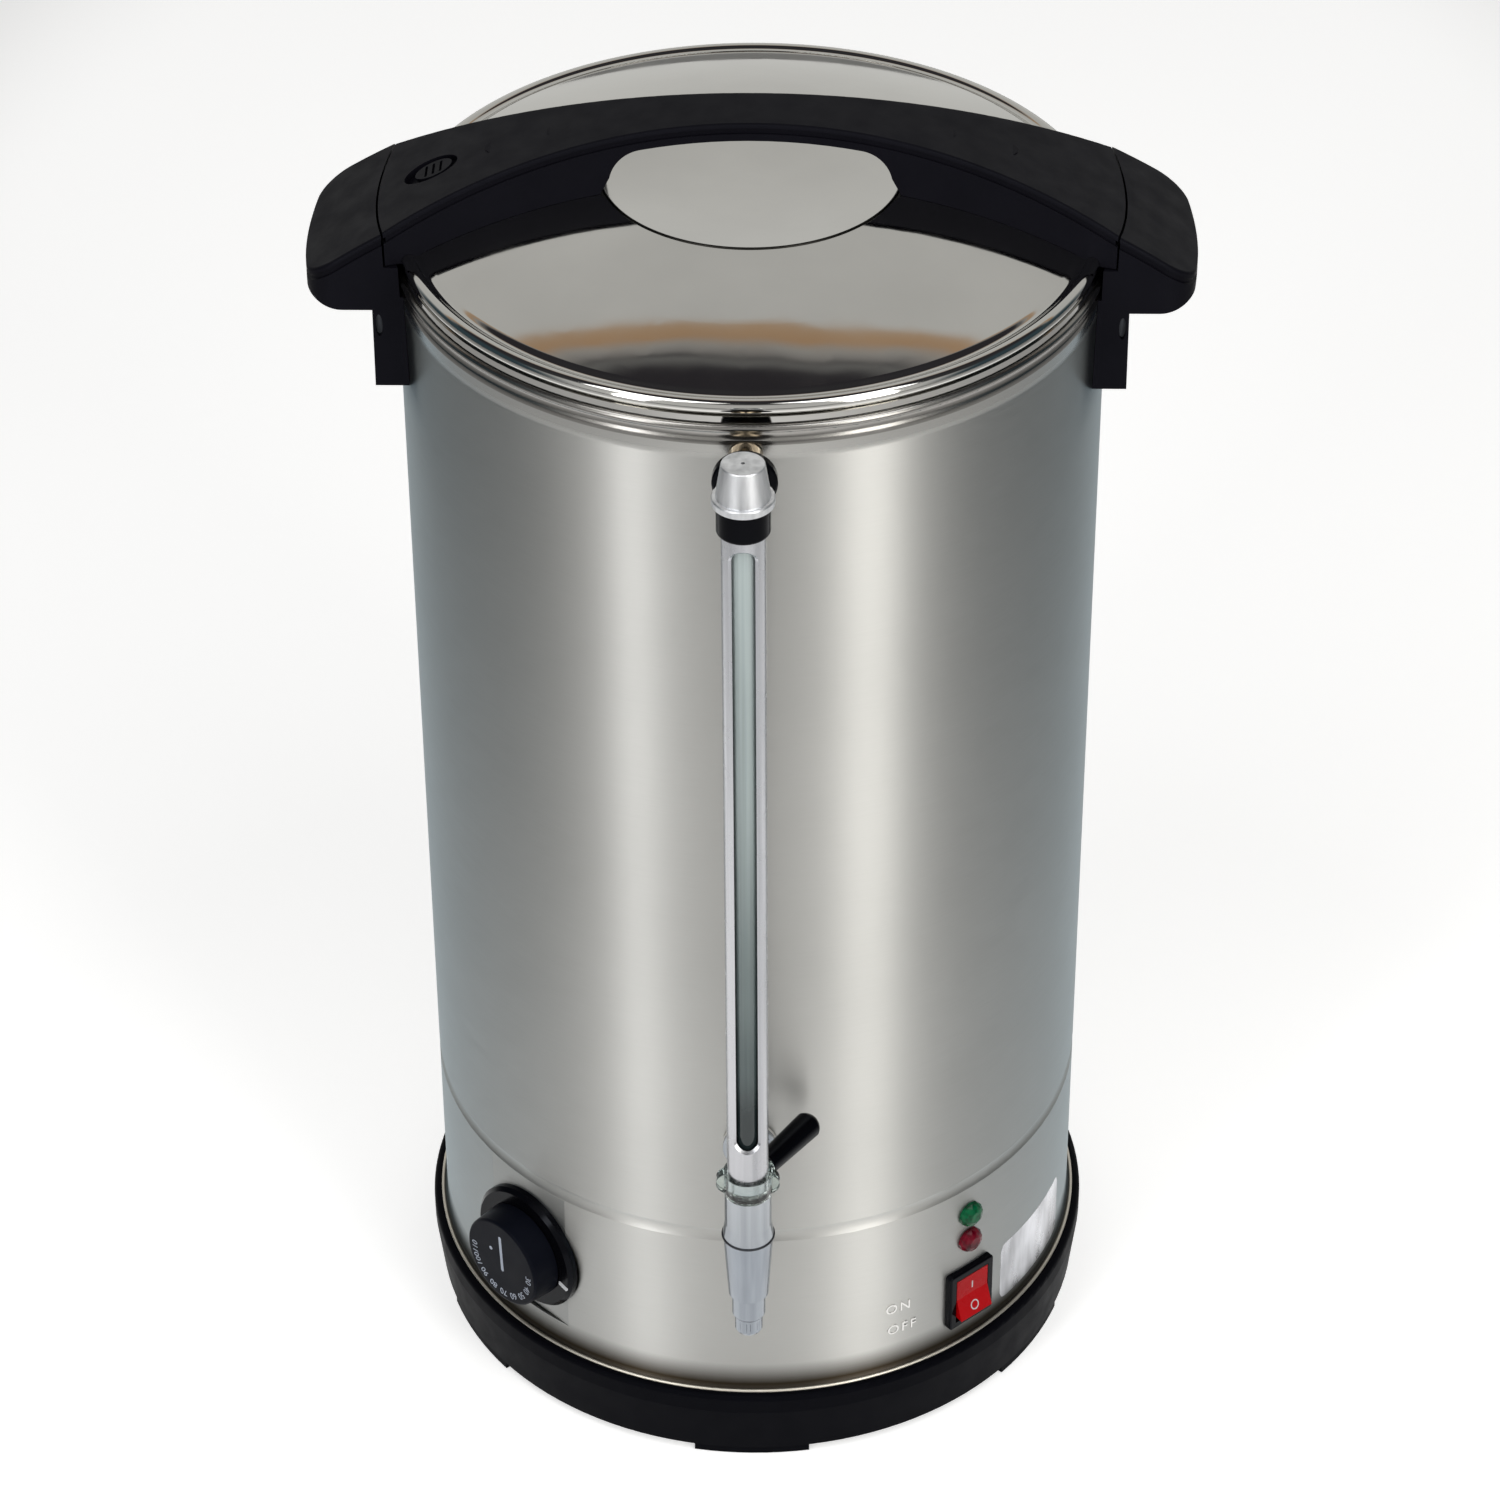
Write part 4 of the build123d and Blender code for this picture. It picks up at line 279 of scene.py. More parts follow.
def make_floor():
    """A pale floor that darkens far out, with a glow that makes it white where nothing shades."""
    shape = bmesh.new()
    bmesh.ops.create_circle(shape, cap_ends=True, segments=FLOOR_STEPS, radius=FLOOR_RADIUS)
    mesh = mesh_of("floor", shape, outward=False)
    floor = put_in_scene("floor", mesh)
    material = bpy.data.materials.new("floor")
    material.use_nodes = True
    tree = Tree(material.node_tree)
    shader = tree.nodes["Principled BSDF"]
    place = tree.vector("SUBTRACT", tree.add("TexCoord").outputs["Object"], FLOOR_MIDDLE)
    place = tree.vector("DIVIDE", place, FLOOR_OVAL)
    out = tree.add("VectorMath", {0: place}, operation="LENGTH").outputs["Value"]
    out = tree.ramp(out, FLOOR_STOPS)
    tree.links.new(tree.mix(out, FLOOR_COLOR, FLOOR_FAR), shader.inputs["Base Color"])
    shader.inputs["Roughness"].default_value = 0.9
    shader.inputs["Specular IOR Level"].default_value = 0.1
    path = tree.add("LightPath").outputs
    seen = tree.math("MAXIMUM", path["Is Camera Ray"], path["Is Glossy Ray"])
    seen = tree.math("MAXIMUM", seen, path["Is Transmission Ray"])
    glow = tree.math("MULTIPLY", tree.math("SUBTRACT", 1.0, out), FLOOR_GLOW)
    glow = tree.add("Emission", {"Strength": tree.math("MULTIPLY", seen, glow)})
    both = tree.add("AddShader", {0: shader.outputs[0], 1: glow.outputs[0]})
    tree.links.new(both.outputs[0], tree.nodes["Material Output"].inputs["Surface"])
    mesh.materials.append(material)


# ---- finishes ---------------------------------------------------------------------------------
NOISE_SPAN = 0.3, 0.7       # the levels that a noise mostly keeps to


class Finish(Tree):
    """A material on one Principled shader, detailed by noise in the object's own space."""

    def __init__(self, name, color, roughness, metallic=0.0):
        self.material = bpy.data.materials.new(name)
        self.material.use_nodes = True
        super().__init__(self.material.node_tree)
        self.shader = self.nodes["Principled BSDF"]
        self.color = color
        self.set("Base Color", (*color, 1))
        self.set("Roughness", roughness)
        self.set("Metallic", metallic)
        self.place = self.add("TexCoord").outputs["Object"]

    def set(self, socket, value):
        self.shader.inputs[socket].default_value = value

    def feed(self, socket, value):
        self.links.new(value, self.shader.inputs[socket])

    def height(self):
        """The height over the ground."""
        return self.add("SeparateXYZ", {0: self.place}).outputs["Z"]

    def noise(self, scale, detail=3.0, stretch=(1, 1, 1)):
        """Grey noise with a number of features per metre."""
        where = self.add("Mapping", {"Vector": self.place, "Scale": stretch}).outputs[0]
        return self.add("TexNoise", {"Vector": where, "Scale": scale, "Detail": detail}).outputs[0]

    def between(self, value, low, high, to_low=0.0, to_high=1.0):
        """How far a value is from one level to another, as a level between two others."""
        inputs = {"Value": value, "From Min": low, "From Max": high}
        return self.add("MapRange", {**inputs, "To Min": to_low, "To Max": to_high}).outputs[0]

    def spread(self, noise, low, high):
        """A noise spread between two levels."""
        return self.between(noise, *NOISE_SPAN, low, high)

    def rough(self, noise, low, high):
        self.feed("Roughness", self.spread(noise, low, high))

    def shade(self, noise, darker):
        """Colour that varies between itself and a darker share of itself."""
        dark = tuple(c * darker for c in self.color)
        self.feed("Base Color", self.mix(self.spread(noise, 0, 1), dark, self.color))

    def bump(self, noise, distance, strength=1.0):
        """Relief from a noise, with its depth in metres."""
        inputs = {"Height": noise, "Distance": distance, "Strength": strength}
        self.feed("Normal", self.add("Bump", inputs).outputs[0])


STEEL_EDGE = (0.68, 0.86, 0.99, 1)      # the wall's cooler tone where it is seen at a slant
ROLLED_FROM = 551 * MM, 554 * MM        # above this the rim is rolled smooth, without grain
ROLLED_SMOOTHER = 0.24
GRAIN_STRETCH = (60, 60, 4200)
GRAIN_PULL = 0.93                       # how much the grain draws highlights out
PAINTED_FOOT_SHADE_BAND = 38.5 * MM, 54 * MM          # where the wall curves out to its lip over the base, painted darker: painted shade and a painted reflection of the black base ring
PAINTED_FOOT_SHADE_STOPS = [(0.0, 0.12), (0.22, 0.0), (0.42, 0.25), (1.0, 1.0)]
PAINTED_FOOT_SHADE_COLOR = (0.035, 0.026, 0.016)


def brushed_steel():
    """The tank's wall: fine grain round the tank, which draws highlights out up and down, and a
    band of painted shade and painted reflection low down, where it curves out to its lip.
    """
    finish = Finish("brushed_steel", (0.50, 0.495, 0.475), 0.46, 1.0)
    finish.set("Specular Tint", STEEL_EDGE)
    finish.set("Anisotropic Rotation", 0.25)
    tangent = finish.add("Tangent", direction_type="RADIAL", axis="Z")
    finish.feed("Tangent", tangent.outputs[0])
    height = finish.height()
    rolled = finish.between(height, *ROLLED_FROM)
    grained = finish.math("SUBTRACT", 1.0, rolled)
    finish.feed("Anisotropic", finish.math("MULTIPLY", grained, GRAIN_PULL))
    grain = finish.noise(1.0, 4.0, GRAIN_STRETCH)
    smoother = finish.math("MULTIPLY", rolled, ROLLED_SMOOTHER)
    finish.feed("Roughness", finish.math("SUBTRACT", finish.spread(grain, 0.42, 0.50), smoother))
    clouds = finish.spread(finish.noise(9.0), 0, 1)
    color = finish.mix(clouds, tuple(c * 0.94 for c in finish.color), finish.color)
    # Painted shade and a painted reflection of the base ring: the colour darkens to a brown band
    # near the wall's foot.
    painted_foot_shade = finish.ramp(finish.between(height, *PAINTED_FOOT_SHADE_BAND), PAINTED_FOOT_SHADE_STOPS, "LINEAR")
    finish.feed("Base Color", finish.mix(painted_foot_shade, PAINTED_FOOT_SHADE_COLOR, color))
    finish.bump(grain, 0.004 * MM, grained)
    return finish


def plain_steel(name, color, low, high, scale=400.0):
    """Drawn, rolled or turned metal without a brushed grain."""
    finish = Finish(name, color, low, 1.0)
    finish.rough(finish.noise(scale, 4.0), low, high)
    finish.shade(finish.noise(25.0), 0.93)
    return finish


def polished_steel():
    """The lid: nearly a mirror, with the faint waves of a drawn sheet."""
    finish = Finish("polished_steel", (0.62, 0.61, 0.585), 0.06, 1.0)
    finish.rough(finish.noise(55.0, 5.0), 0.045, 0.085)
    finish.shade(finish.noise(14.0, 4.0), 0.90)
    finish.bump(finish.noise(16.0, 2.0), 0.03 * MM)
    return finish


SILVER_HEIGHTS = 120 * MM, 580 * MM
# Painted light: the colour is painted paler up on the cap and darker down on the spout.
SILVER_PAINTED_LIGHT_STOPS = [
    (0.0, (0.34, 0.365, 0.40)),
    (0.128, (0.30, 0.325, 0.36)),
    (0.132, (0.35, 0.37, 0.395)),
    (0.185, (0.40, 0.42, 0.445)),
    (0.20, (0.50, 0.50, 0.52)),
    (0.93, (0.60, 0.61, 0.64)),
    (0.96, (0.86, 0.87, 0.89)),
]
SILVER_PAINTED_REFLECTION = (0.07, 0.08, 0.095)
SILVER_PAINTED_REFLECTION_STRETCH = (230, 230, 5)
SILVER_ROUGH = [(0.185, 0.20), (0.20, 0.25), (0.93, 0.25), (0.96, 0.40)]


def satin_silver():
    """Silver-grey satin plating on the tap's parts, with painted light: painted paler on the cap
    and darker on the spout, with long dark streaks of painted reflection.
    """
    finish = Finish("satin_aluminium", (0.62, 0.63, 0.655), 0.3, 1.0)
    level = finish.between(finish.height(), *SILVER_HEIGHTS)
    color = finish.ramp(level, SILVER_PAINTED_LIGHT_STOPS, "LINEAR")
    # Painted reflection: long vertical streaks painted darker round the tap's parts.
    streaks = finish.spread(finish.noise(1.0, 2.0, SILVER_PAINTED_REFLECTION_STRETCH), 0.66, 1.06)
    finish.feed("Base Color", finish.mix(streaks, SILVER_PAINTED_REFLECTION, color))
    rough = finish.ramp(level, SILVER_ROUGH, "LINEAR")
    uneven = finish.spread(finish.noise(120.0), 0, 0.03)
    finish.feed("Roughness", finish.math("ADD", rough, uneven))
    return finish


def chrome():
    """The bright stud's chrome, painted warm: a painted reflection of what it mirrors."""
    finish = Finish("chrome", (0.34, 0.28, 0.20), 0.16, 1.0)
    finish.rough(finish.noise(200.0), 0.14, 0.20)
    return finish


PLASTIC_EDGE = (0.82, 0.88, 1.0, 1)     # the tone of its shine


def plastic(name, color, low, high, depth=0.012, specular=0.5):
    """Moulded plastic with a fine texture, its depth in mm."""
    finish = Finish(name, color, low)
    finish.set("Specular IOR Level", specular)
    finish.set("Specular Tint", PLASTIC_EDGE)
    finish.rough(finish.noise(90.0, 4.0), low, high)
    finish.shade(finish.noise(40.0, 4.0), 0.8)
    finish.bump(finish.noise(2500.0, 4.0), depth * MM)
    return finish


FLUTES = 16


def ribbed_clear():
    """The clear turning ring, whose inside is fluted from top to bottom."""
    finish = Finish("clear_plastic", (0.84, 0.95, 0.91), 0.03)
    finish.set("Transmission Weight", 1.0)
    finish.set("IOR", 1.49)
    finish.rough(finish.noise(120.0), 0.03, 0.06)
    place = finish.vector("SUBTRACT", finish.place, COLUMN_PLACE)
    axes = finish.add("SeparateXYZ", {0: place}).outputs
    turn = finish.math("MULTIPLY", finish.math("ARCTAN2", axes["Y"], axes["X"]), FLUTES)
    finish.bump(finish.math("SINE", turn), 0.10 * MM)
    return finish


GLASS_HEIGHTS = 215 * MM, 545 * MM
GLASS_STREAK = (0.012, 0.02, 0.022)
GLASS_STREAK_STRETCH = (700, 700, 6)
GLASS_STOPS = [
    (0.0, (0.010, 0.016, 0.017)),
    (0.10, (0.025, 0.036, 0.038)),
    (0.19, (0.11, 0.145, 0.147)),
    (0.31, (0.18, 0.225, 0.225)),
    (0.68, (0.43, 0.50, 0.50)),
    (1.0, (0.56, 0.64, 0.64)),
]


def sight_glass():
    """The glass tube, teal and darker towards the bottom, where there is less light behind it."""
    finish = Finish("glass", (0.3, 0.4, 0.4), 0.05)
    finish.set("Transmission Weight", 0.25)
    finish.set("IOR", 1.47)
    color = finish.ramp(finish.between(finish.height(), *GLASS_HEIGHTS), GLASS_STOPS)
    streaks = finish.spread(finish.noise(1.0, 2.0, GLASS_STREAK_STRETCH), 0.0, 0.25)
    finish.feed("Base Color", finish.mix(streaks, color, GLASS_STREAK))
    finish.rough(finish.noise(120.0), 0.03, 0.08)
    return finish


def lens(name, color):
    """A lamp's cut lens, deep in colour."""
    finish = Finish(name, color, 0.1)
    finish.set("Specular IOR Level", 0.16)
    finish.rough(finish.noise(300.0), 0.16, 0.22)
    # Painted shade: the lens's colour darkens in patches, standing in for the light on its facets.
    finish.shade(finish.noise(260.0, 2.0), 0.15)
    return finish


def foil():
    """The blank foil sticker, crinkled where it was pressed on."""
    finish = Finish("foil", (0.78, 0.79, 0.83), 0.3, 0.85)
    wrinkles = finish.noise(95.0, 4.0, (1, 1, 0.35))
    finish.rough(wrinkles, 0.2, 0.42)
    # Painted reflection: the foil's colour is painted darker in patches, for the sheen of its
    # crinkles.
    finish.shade(finish.noise(70.0, 3.0, (1, 1, 0.3)), 0.42)
    finish.bump(wrinkles, 0.5 * MM)
    return finish


SPECIAL = {
    "brushed_steel": brushed_steel,
    "polished_steel": polished_steel,
    "satin_aluminium": satin_silver,
    "chrome": chrome,
    "clear_plastic": ribbed_clear,
    "glass": sight_glass,
    "foil": foil,
}
METALS = {      # colour, the least and the most roughness, and how fine its unevenness is
    "pan_steel": ((0.60, 0.59, 0.57), 0.22, 0.34),
    "cover_steel": ((0.50, 0.50, 0.49), 0.38, 0.5),
    "zinc_screws": ((0.62, 0.63, 0.65), 0.25, 0.38),
    "dark_screws": ((0.07, 0.07, 0.075), 0.3, 0.4),
    "spring_steel": ((0.50, 0.50, 0.50), 0.25, 0.35),
    "turned_steel": ((0.58, 0.58, 0.57), 0.2, 0.3),
    "element_steel": ((0.36, 0.34, 0.31), 0.38, 0.55),
    "spreader_aluminium": ((0.72, 0.73, 0.74), 0.4, 0.5),
    "capillary_copper": ((0.72, 0.38, 0.24), 0.25, 0.4),
    "nut_brass": ((0.70, 0.55, 0.28), 0.22, 0.34),
    # Paler than the wall's steel: painted highlights on the stamped letters.
    "stamped_steel": ((0.80, 0.79, 0.77), 0.3, 0.4),
    "lip_steel": ((0.66, 0.62, 0.54), 0.36, 0.44),
    # The rolled rim's steel is the wall's painted darker: painted shade.
    "rim_shade_steel": ((0.30, 0.29, 0.275), 0.2, 0.24, 60.0),
    # Near black: the lid's crease bead is a painted shadow line.
    "crease_shadow_steel": ((0.02, 0.019, 0.017), 0.3, 0.4),
}
PLASTICS = {    # colour, the least and the most roughness, the texture's depth and the shine
    "black_plastic": ((0.0045, 0.0042, 0.0066), 0.42, 0.54, 0.012, 0.06),
    # Lighter than the handles' black: a painted highlight in the legs' notches.
    "notch_highlight_plastic": ((0.03, 0.032, 0.036), 0.4, 0.5),
    "base_plastic": ((0.0022, 0.0022, 0.0036), 0.44, 0.54, 0.012, 0.03),
    "black_gloss": ((0.002, 0.002, 0.003), 0.14, 0.2, 0.002, 0.08),
    "control_plastic": ((0.003, 0.0036, 0.007), 0.36, 0.46, 0.012, 0.045),
    "cutout_plastic": ((0.05, 0.035, 0.022), 0.4, 0.5),
    "valve_ceramic": ((0.75, 0.74, 0.70), 0.3, 0.4),
    "red_plastic": ((0.42, 0.0, 0.002), 0.24, 0.32, 0.002, 0.08),
    "silicone": ((0.62, 0.60, 0.56), 0.45, 0.55),
    "rubber": ((0.012, 0.012, 0.013), 0.5, 0.6),
    "white_print": ((0.55, 0.56, 0.58), 0.4, 0.5, 0.002),
    "grey_print": ((0.38, 0.42, 0.50), 0.4, 0.5, 0.002),
}
LENSES = {"green_lens": (0.0, 0.135, 0.048), "red_lens": (0.15, 0.001, 0.012)}
NODE_FINISHES = {
    "base_ring": "base_plastic",
    "side_handle_screws": "dark_screws",
    "tap_body": "satin_aluminium",
    "spout": "satin_aluminium",
    "top_collar": "black_gloss",
    "thermostat_knob": "control_plastic",
    "lid_lock": "black_plastic",
    "tap_lever": "black_gloss",
}


def make_finishes():
    """Every finish by name: one for each slot, and those of single nodes and pieces."""
    finishes = {name: make() for name, make in SPECIAL.items()}
    finishes |= {name: plain_steel(name, *values) for name, values in METALS.items()}
    finishes |= {name: plastic(name, *values) for name, values in PLASTICS.items()}
    finishes |= {name: lens(name, color) for name, color in LENSES.items()}
    return finishes


FINISHES = make_finishes()


def dress_nodes():
    """Give every node of the model the finish of its slot, or its own."""
    for name, node in NODES.items():
        for place in node.material_slots:
            slot = NODE_FINISHES.get(name, place.material.name.split(".")[0])
            place.material = FINISHES[slot].material


# ---- marks ------------------------------------------------------------------------------------
PRINT_HEIGHT = 0.05 * MM       # how far printed marks stand proud
STAMP_HEIGHT = 0.42 * MM       # how far stamped ones do
CAPITALS = 0.69                # the height of capitals, as a share of the lettering's size


class Face:
    """A stretch of a node's surface to lay marks on, seen straight on from an azimuth."""

    def __init__(self, node, azimuth, height):
        self.out = direction(azimuth)
        self.right = direction(azimuth + pi / 2)
        self.middle = self.out * 2 * TANK_RADIUS + Vector((0, 0, height))
        mesh = NODES[node].data
        corners = [vertex.co for vertex in mesh.vertices]
        self.surface = BVHTree.FromPolygons(corners, [face.vertices for face in mesh.polygons])

    def lay(self, place, proud):
        """The point on the surface behind a place across and up from the middle."""
        start = self.middle + self.right * place.x + Vector((0, 0, place.y))
        return self.surface.ray_cast(start, -self.out)[0] + self.out * proud


def moved(mesh, x, y, turn):
    """A flat mesh turned in its plane and then moved."""
    mesh.transform(Matrix.Translation((x, y, 0)) @ Matrix.Rotation(turn, 4, "Z"))
    return mesh


def words(text, height, x=0.0, y=0.0, turn=0.0, spacing=1.0):
    """Flat lettering with a thickness, round a middle at x and y."""
    curve = bpy.data.curves.new("words", "FONT")
    curve.body = text
    curve.size = height / CAPITALS
    curve.space_character = spacing
    curve.align_x, curve.align_y = "CENTER", "CENTER"
    curve.extrude = height / 10
    holder = bpy.data.objects.new("words", curve)
    mesh = bpy.data.meshes.new_from_object(holder)
    bpy.data.objects.remove(holder)
    return moved(mesh, x, y, turn)


def patch(width, height, x=0.0, y=0.0, turn=0.0, corner=0.0, steps=1):
    """A flat rounded rectangle with a thickness, cut into strips that can follow a bend."""
    shape = bmesh.new()
    lines = []
    for i in range(steps + 1):
        along = (i / steps - 0.5) * width
        into = max(corner - (width / 2 - abs(along)), 0)
        half = height / 2 - corner + (corner**2 - into**2) ** 0.5
        places = ((along, -half, -1), (along, half, -1), (along, half, 1), (along, -half, 1))
        lines.append([shape.verts.new(place) for place in places])
    for a, b in zip(lines, lines[1:]):
        bridge(shape, a, b)
    shape.faces.new(lines[0])
    shape.faces.new(lines[-1])
    return moved(mesh_of("patch", shape), x, y, turn)


def circle_mark(radius, stroke, x=0.0, y=0.0, steps=28):
    """A flat ring with a thickness, or a dot where the stroke is the whole radius."""
    shape = bmesh.new()
    rings = [
        [shape.verts.new((x + r * cos(a), y + r * sin(a), z)) for a in circle_turns(steps)]
        for r, z in ((radius, -1), (radius, 1), (radius - stroke, 1), (radius - stroke, -1))
    ]
    for near, far in zip(rings, rings[1:]):
        bridge(shape, near, far)
    bmesh.ops.remove_doubles(shape, verts=shape.verts, dist=1e-7)
    return mesh_of("circle", shape)


def put_marks(name, face, body, finish, meshes, proud=PRINT_HEIGHT):
    """Lay flat meshes on a face as one piece that rides on a body."""
    shape = bmesh.new()
    for mesh in meshes:
        shape.from_mesh(mesh)
    for vertex in shape.verts:
        vertex.co = face.lay(vertex.co, proud if vertex.co.z > 0 else -proud)
    make_piece(name, mesh_of(name, shape, outward=False), body, FINISHES[finish])


DIAL_NUMBERS = range(30, 120, 10)
NUMBERS_HEIGHT = 3.3 * MM
NUMBERS_RADIUS = 17.8 * MM
NUMBERS_FROM, NUMBERS_TO = radians(0), radians(-176)   # counted from the right, anticlockwise
POINTER = dict(width=1.7 * MM, height=20.5 * MM, y=5.2 * MM, turn=radians(3), corner=0.8 * MM)
DOT = dict(radius=1.0 * MM, stroke=1.0 * MM, x=-6.9 * MM, y=4.8 * MM)
INDEX = dict(width=5.6 * MM, height=2.6 * MM, corner=0.5 * MM)
INDEX_RADIUS = 27.1 * MM
INDEX_ANGLE = radians(-15)


def round_dial(radius, angle):
    """A place at an angle round the dial, as words() and patch() take it."""
    return dict(x=radius * cos(angle), y=radius * sin(angle))


def mark_dial():
    """The knob's numbers, pointer and dot, and the white line that they are set against."""
    knob = Face("thermostat_knob", DIAL_AZIMUTH, DIAL_PLACE.z)
    marks = []
    for i, number in enumerate(DIAL_NUMBERS):
        angle = NUMBERS_FROM + (NUMBERS_TO - NUMBERS_FROM) * i / (len(DIAL_NUMBERS) - 1)
        place = round_dial(NUMBERS_RADIUS, angle)
        marks.append(words(str(number), NUMBERS_HEIGHT, turn=angle - pi / 2, **place))
    marks += [patch(steps=6, **POINTER), circle_mark(**DOT)]
    put_marks("dial_marks", knob, "thermostat_dial", "grey_print", marks)
    plate = Face("dial_plate", DIAL_AZIMUTH, DIAL_PLACE.z)
    line = patch(turn=INDEX_ANGLE, steps=12, **INDEX, **round_dial(INDEX_RADIUS, INDEX_ANGLE))
    put_marks("dial_index", plate, "urn", "white_print", [line])


ROCKER_LINE = dict(width=0.7 * MM, height=4.0 * MM, y=6.0 * MM)
ROCKER_RING = dict(radius=2.4 * MM, stroke=0.55 * MM, y=-5.4 * MM)
STAMPS = [("ON", radians(26.6), 75.5 * MM), ("OFF", radians(27.4), 62.5 * MM)]
STAMP_LETTERS = 5.2 * MM
STAMP_SPACING = 1.25


def mark_switch():
    """I and O on the rocker, and ON and OFF stamped in the wall beside it."""
    rocker = Face("rocker_switch", PANEL_AZIMUTH, SWITCH_PLACE.z)
    marks = [patch(**ROCKER_LINE), circle_mark(**ROCKER_RING)]
    put_marks("rocker_marks", rocker, "switch_rocker", "white_print", marks)
    for text, azimuth, height in STAMPS:
        wall = Face("tank_shell", azimuth, height)
        marks = [words(text, STAMP_LETTERS, spacing=STAMP_SPACING)]
        name = f"stamp_{text}"
        put_marks(name, wall, "urn", "stamped_steel", marks, STAMP_HEIGHT)


STICKER_AZIMUTHS = radians(50.3), radians(72.5)
STICKER_HEIGHTS = 45 * MM, 79 * MM
STICKER_CORNER = 4 * MM


def stick_foil():
    """A blank foil sticker on the wall beside the switch."""
    low, high = STICKER_HEIGHTS
    wall = Face("tank_shell", sum(STICKER_AZIMUTHS) / 2, (low + high) / 2)
    width = 2 * TANK_RADIUS * sin((STICKER_AZIMUTHS[1] - STICKER_AZIMUTHS[0]) / 2)
    sheet = patch(width, high - low, corner=STICKER_CORNER, steps=48)
    put_marks("foil_sticker", wall, "urn", "foil", [sheet])


# ---- tap column -------------------------------------------------------------------------------
GUARD_RADIUS = 9.0 * MM
GUARD_WALL = 1.3 * MM
GUARD_STEPS = 64
SLOT_HALF = 5.9 * MM, 4.7 * MM      # half the slot's width outside and inside the tube
SLOT_LOW, SLOT_HIGH = 23.0 * MM, 13.0 * MM      # from the guard's ends to the slot
TIP_STEPS = 12


def slot_rows(low, high, half):
    """Heights of the guard's rows, each with half the slot's width there."""
    turns = [i / TIP_STEPS * pi / 2 for i in range(TIP_STEPS + 1)]
    bottom = [(low - half * cos(a), half * sin(a)) for a in turns]
    top = [(high + half * cos(a), half * sin(a)) for a in reversed(turns)]
    return bottom + top


def slotted_guard():
    """The silver tube round the sight glass, with a bevelled slot that has round ends."""
    low, high = (corner.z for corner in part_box("sight_guard"))
    ends = low + SLOT_LOW + SLOT_HALF[0], high - SLOT_HIGH - SLOT_HALF[0]
    shape = bmesh.new()
    layers = []
    for radius, half in zip((GUARD_RADIUS, GUARD_RADIUS - GUARD_WALL), SLOT_HALF):
        layer = []
        for z, width in [(low, 0.0), *slot_rows(*ends, half), (high, 0.0)]:
            start = asin(width / radius)
            step = (2 * pi - 2 * start) / GUARD_STEPS
            middle = Vector((0, COLUMN_PLACE.y, z))
            places = [direction(start + step * i) * radius for i in range(GUARD_STEPS + 1)]
            layer.append([shape.verts.new(middle + place) for place in places])
        layers.append(layer)
        for a, b in zip(layer, layer[1:]):
            bridge(shape, a, b, closed=False)
    outer, inner = layers
    for side in (0, -1):        # of the slot, which the guard's end rows don't have
        edges = [(far[side], near[side]) for far, near in zip(outer[1:-1], inner[1:-1])]
        for a, b in zip(edges, edges[1:]):
            bridge(shape, a, b, closed=False)
    for end in (0, -1):
        bridge(shape, outer[end], inner[end], closed=False)
    bmesh.ops.remove_doubles(shape, verts=shape.verts, dist=1e-6)
    silver = FINISHES["satin_aluminium"]
    piece = smooth_piece("slotted_guard", shape, "urn", silver)
    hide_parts("sight_guard")


# ---- turned trim ------------------------------------------------------------------------------
TURNED_STEPS = 360
TURNED_ANGLE = 80


def arc(radius, height, size, start, end, steps):
    """Points of a section's arc: distance from the tank's axis, and height."""
    turns = [radians(start + (end - start) * i / steps) for i in range(steps + 1)]
    return [(radius + size * cos(a), height + size * sin(a)) for a in turns]


def turned(name, section, body, finish):
    """A closed section turned about the tank's axis."""
    shape = bmesh.new()
    turns = [direction(a) for a in circle_turns(TURNED_STEPS)]
    rings = [[shape.verts.new(out * r + Vector((0, 0, z))) for out in turns] for r, z in section]
    for near, far in zip(rings, rings[1:] + rings[:1]):
        bridge(shape, near, far)
    smooth_piece(name, shape, body, FINISHES[finish], TURNED_ANGLE)


LIP_RADIUS, LIP_SIZE = 152.0 * MM, 1.0 * MM
RIM_RADIUS, RIM_SIZE = 148.9 * MM, 1.95 * MM    # the middle and size of the rolled rim's curl
RIM_DROP = 1.9 * MM                             # from the wall's top down to that middle
NECK_RADIUS = 150.06 * MM                       # the wall's, round the groove under the curl
NECK_HALF, NECK_DEPTH = 2.2 * MM, 0.62 * MM     # half the groove's height, and its depth
NECK_DROP = 0.95 * MM                           # from the curl's middle to the groove's top
NECK_FOOT = 2.0 * MM
RIM_INTO, NECK_INTO = 1.9 * MM, 1.6 * MM        # how far into the wall their sections close


def rim_section(top):
    """The rolled rim's curl and the groove under it."""
    curl_z = top - RIM_DROP
    neck_z = curl_z - NECK_DROP - NECK_HALF
    foot_z = neck_z - NECK_HALF - NECK_FOOT
    size = (NECK_HALF**2 + NECK_DEPTH**2) / (2 * NECK_DEPTH)
    reach = degrees(asin(NECK_HALF / size))
    section = [(NECK_RADIUS - NECK_INTO, foot_z), (NECK_RADIUS, foot_z)]
    section += arc(NECK_RADIUS - NECK_DEPTH + size, neck_z, size, 180 + reach, 180 - reach, 12)
    section += arc(RIM_RADIUS, curl_z, RIM_SIZE, -25, 110, 16)
    return [*section, (NECK_RADIUS - RIM_INTO, curl_z)]


# The round bead in the crease round the lid's dish, near black as a painted shadow line: its
# middle, size and drop from the top.
CREASE_RADIUS, CREASE_SIZE, CREASE_DROP = 63.4 * MM, 0.75 * MM, 0.25 * MM

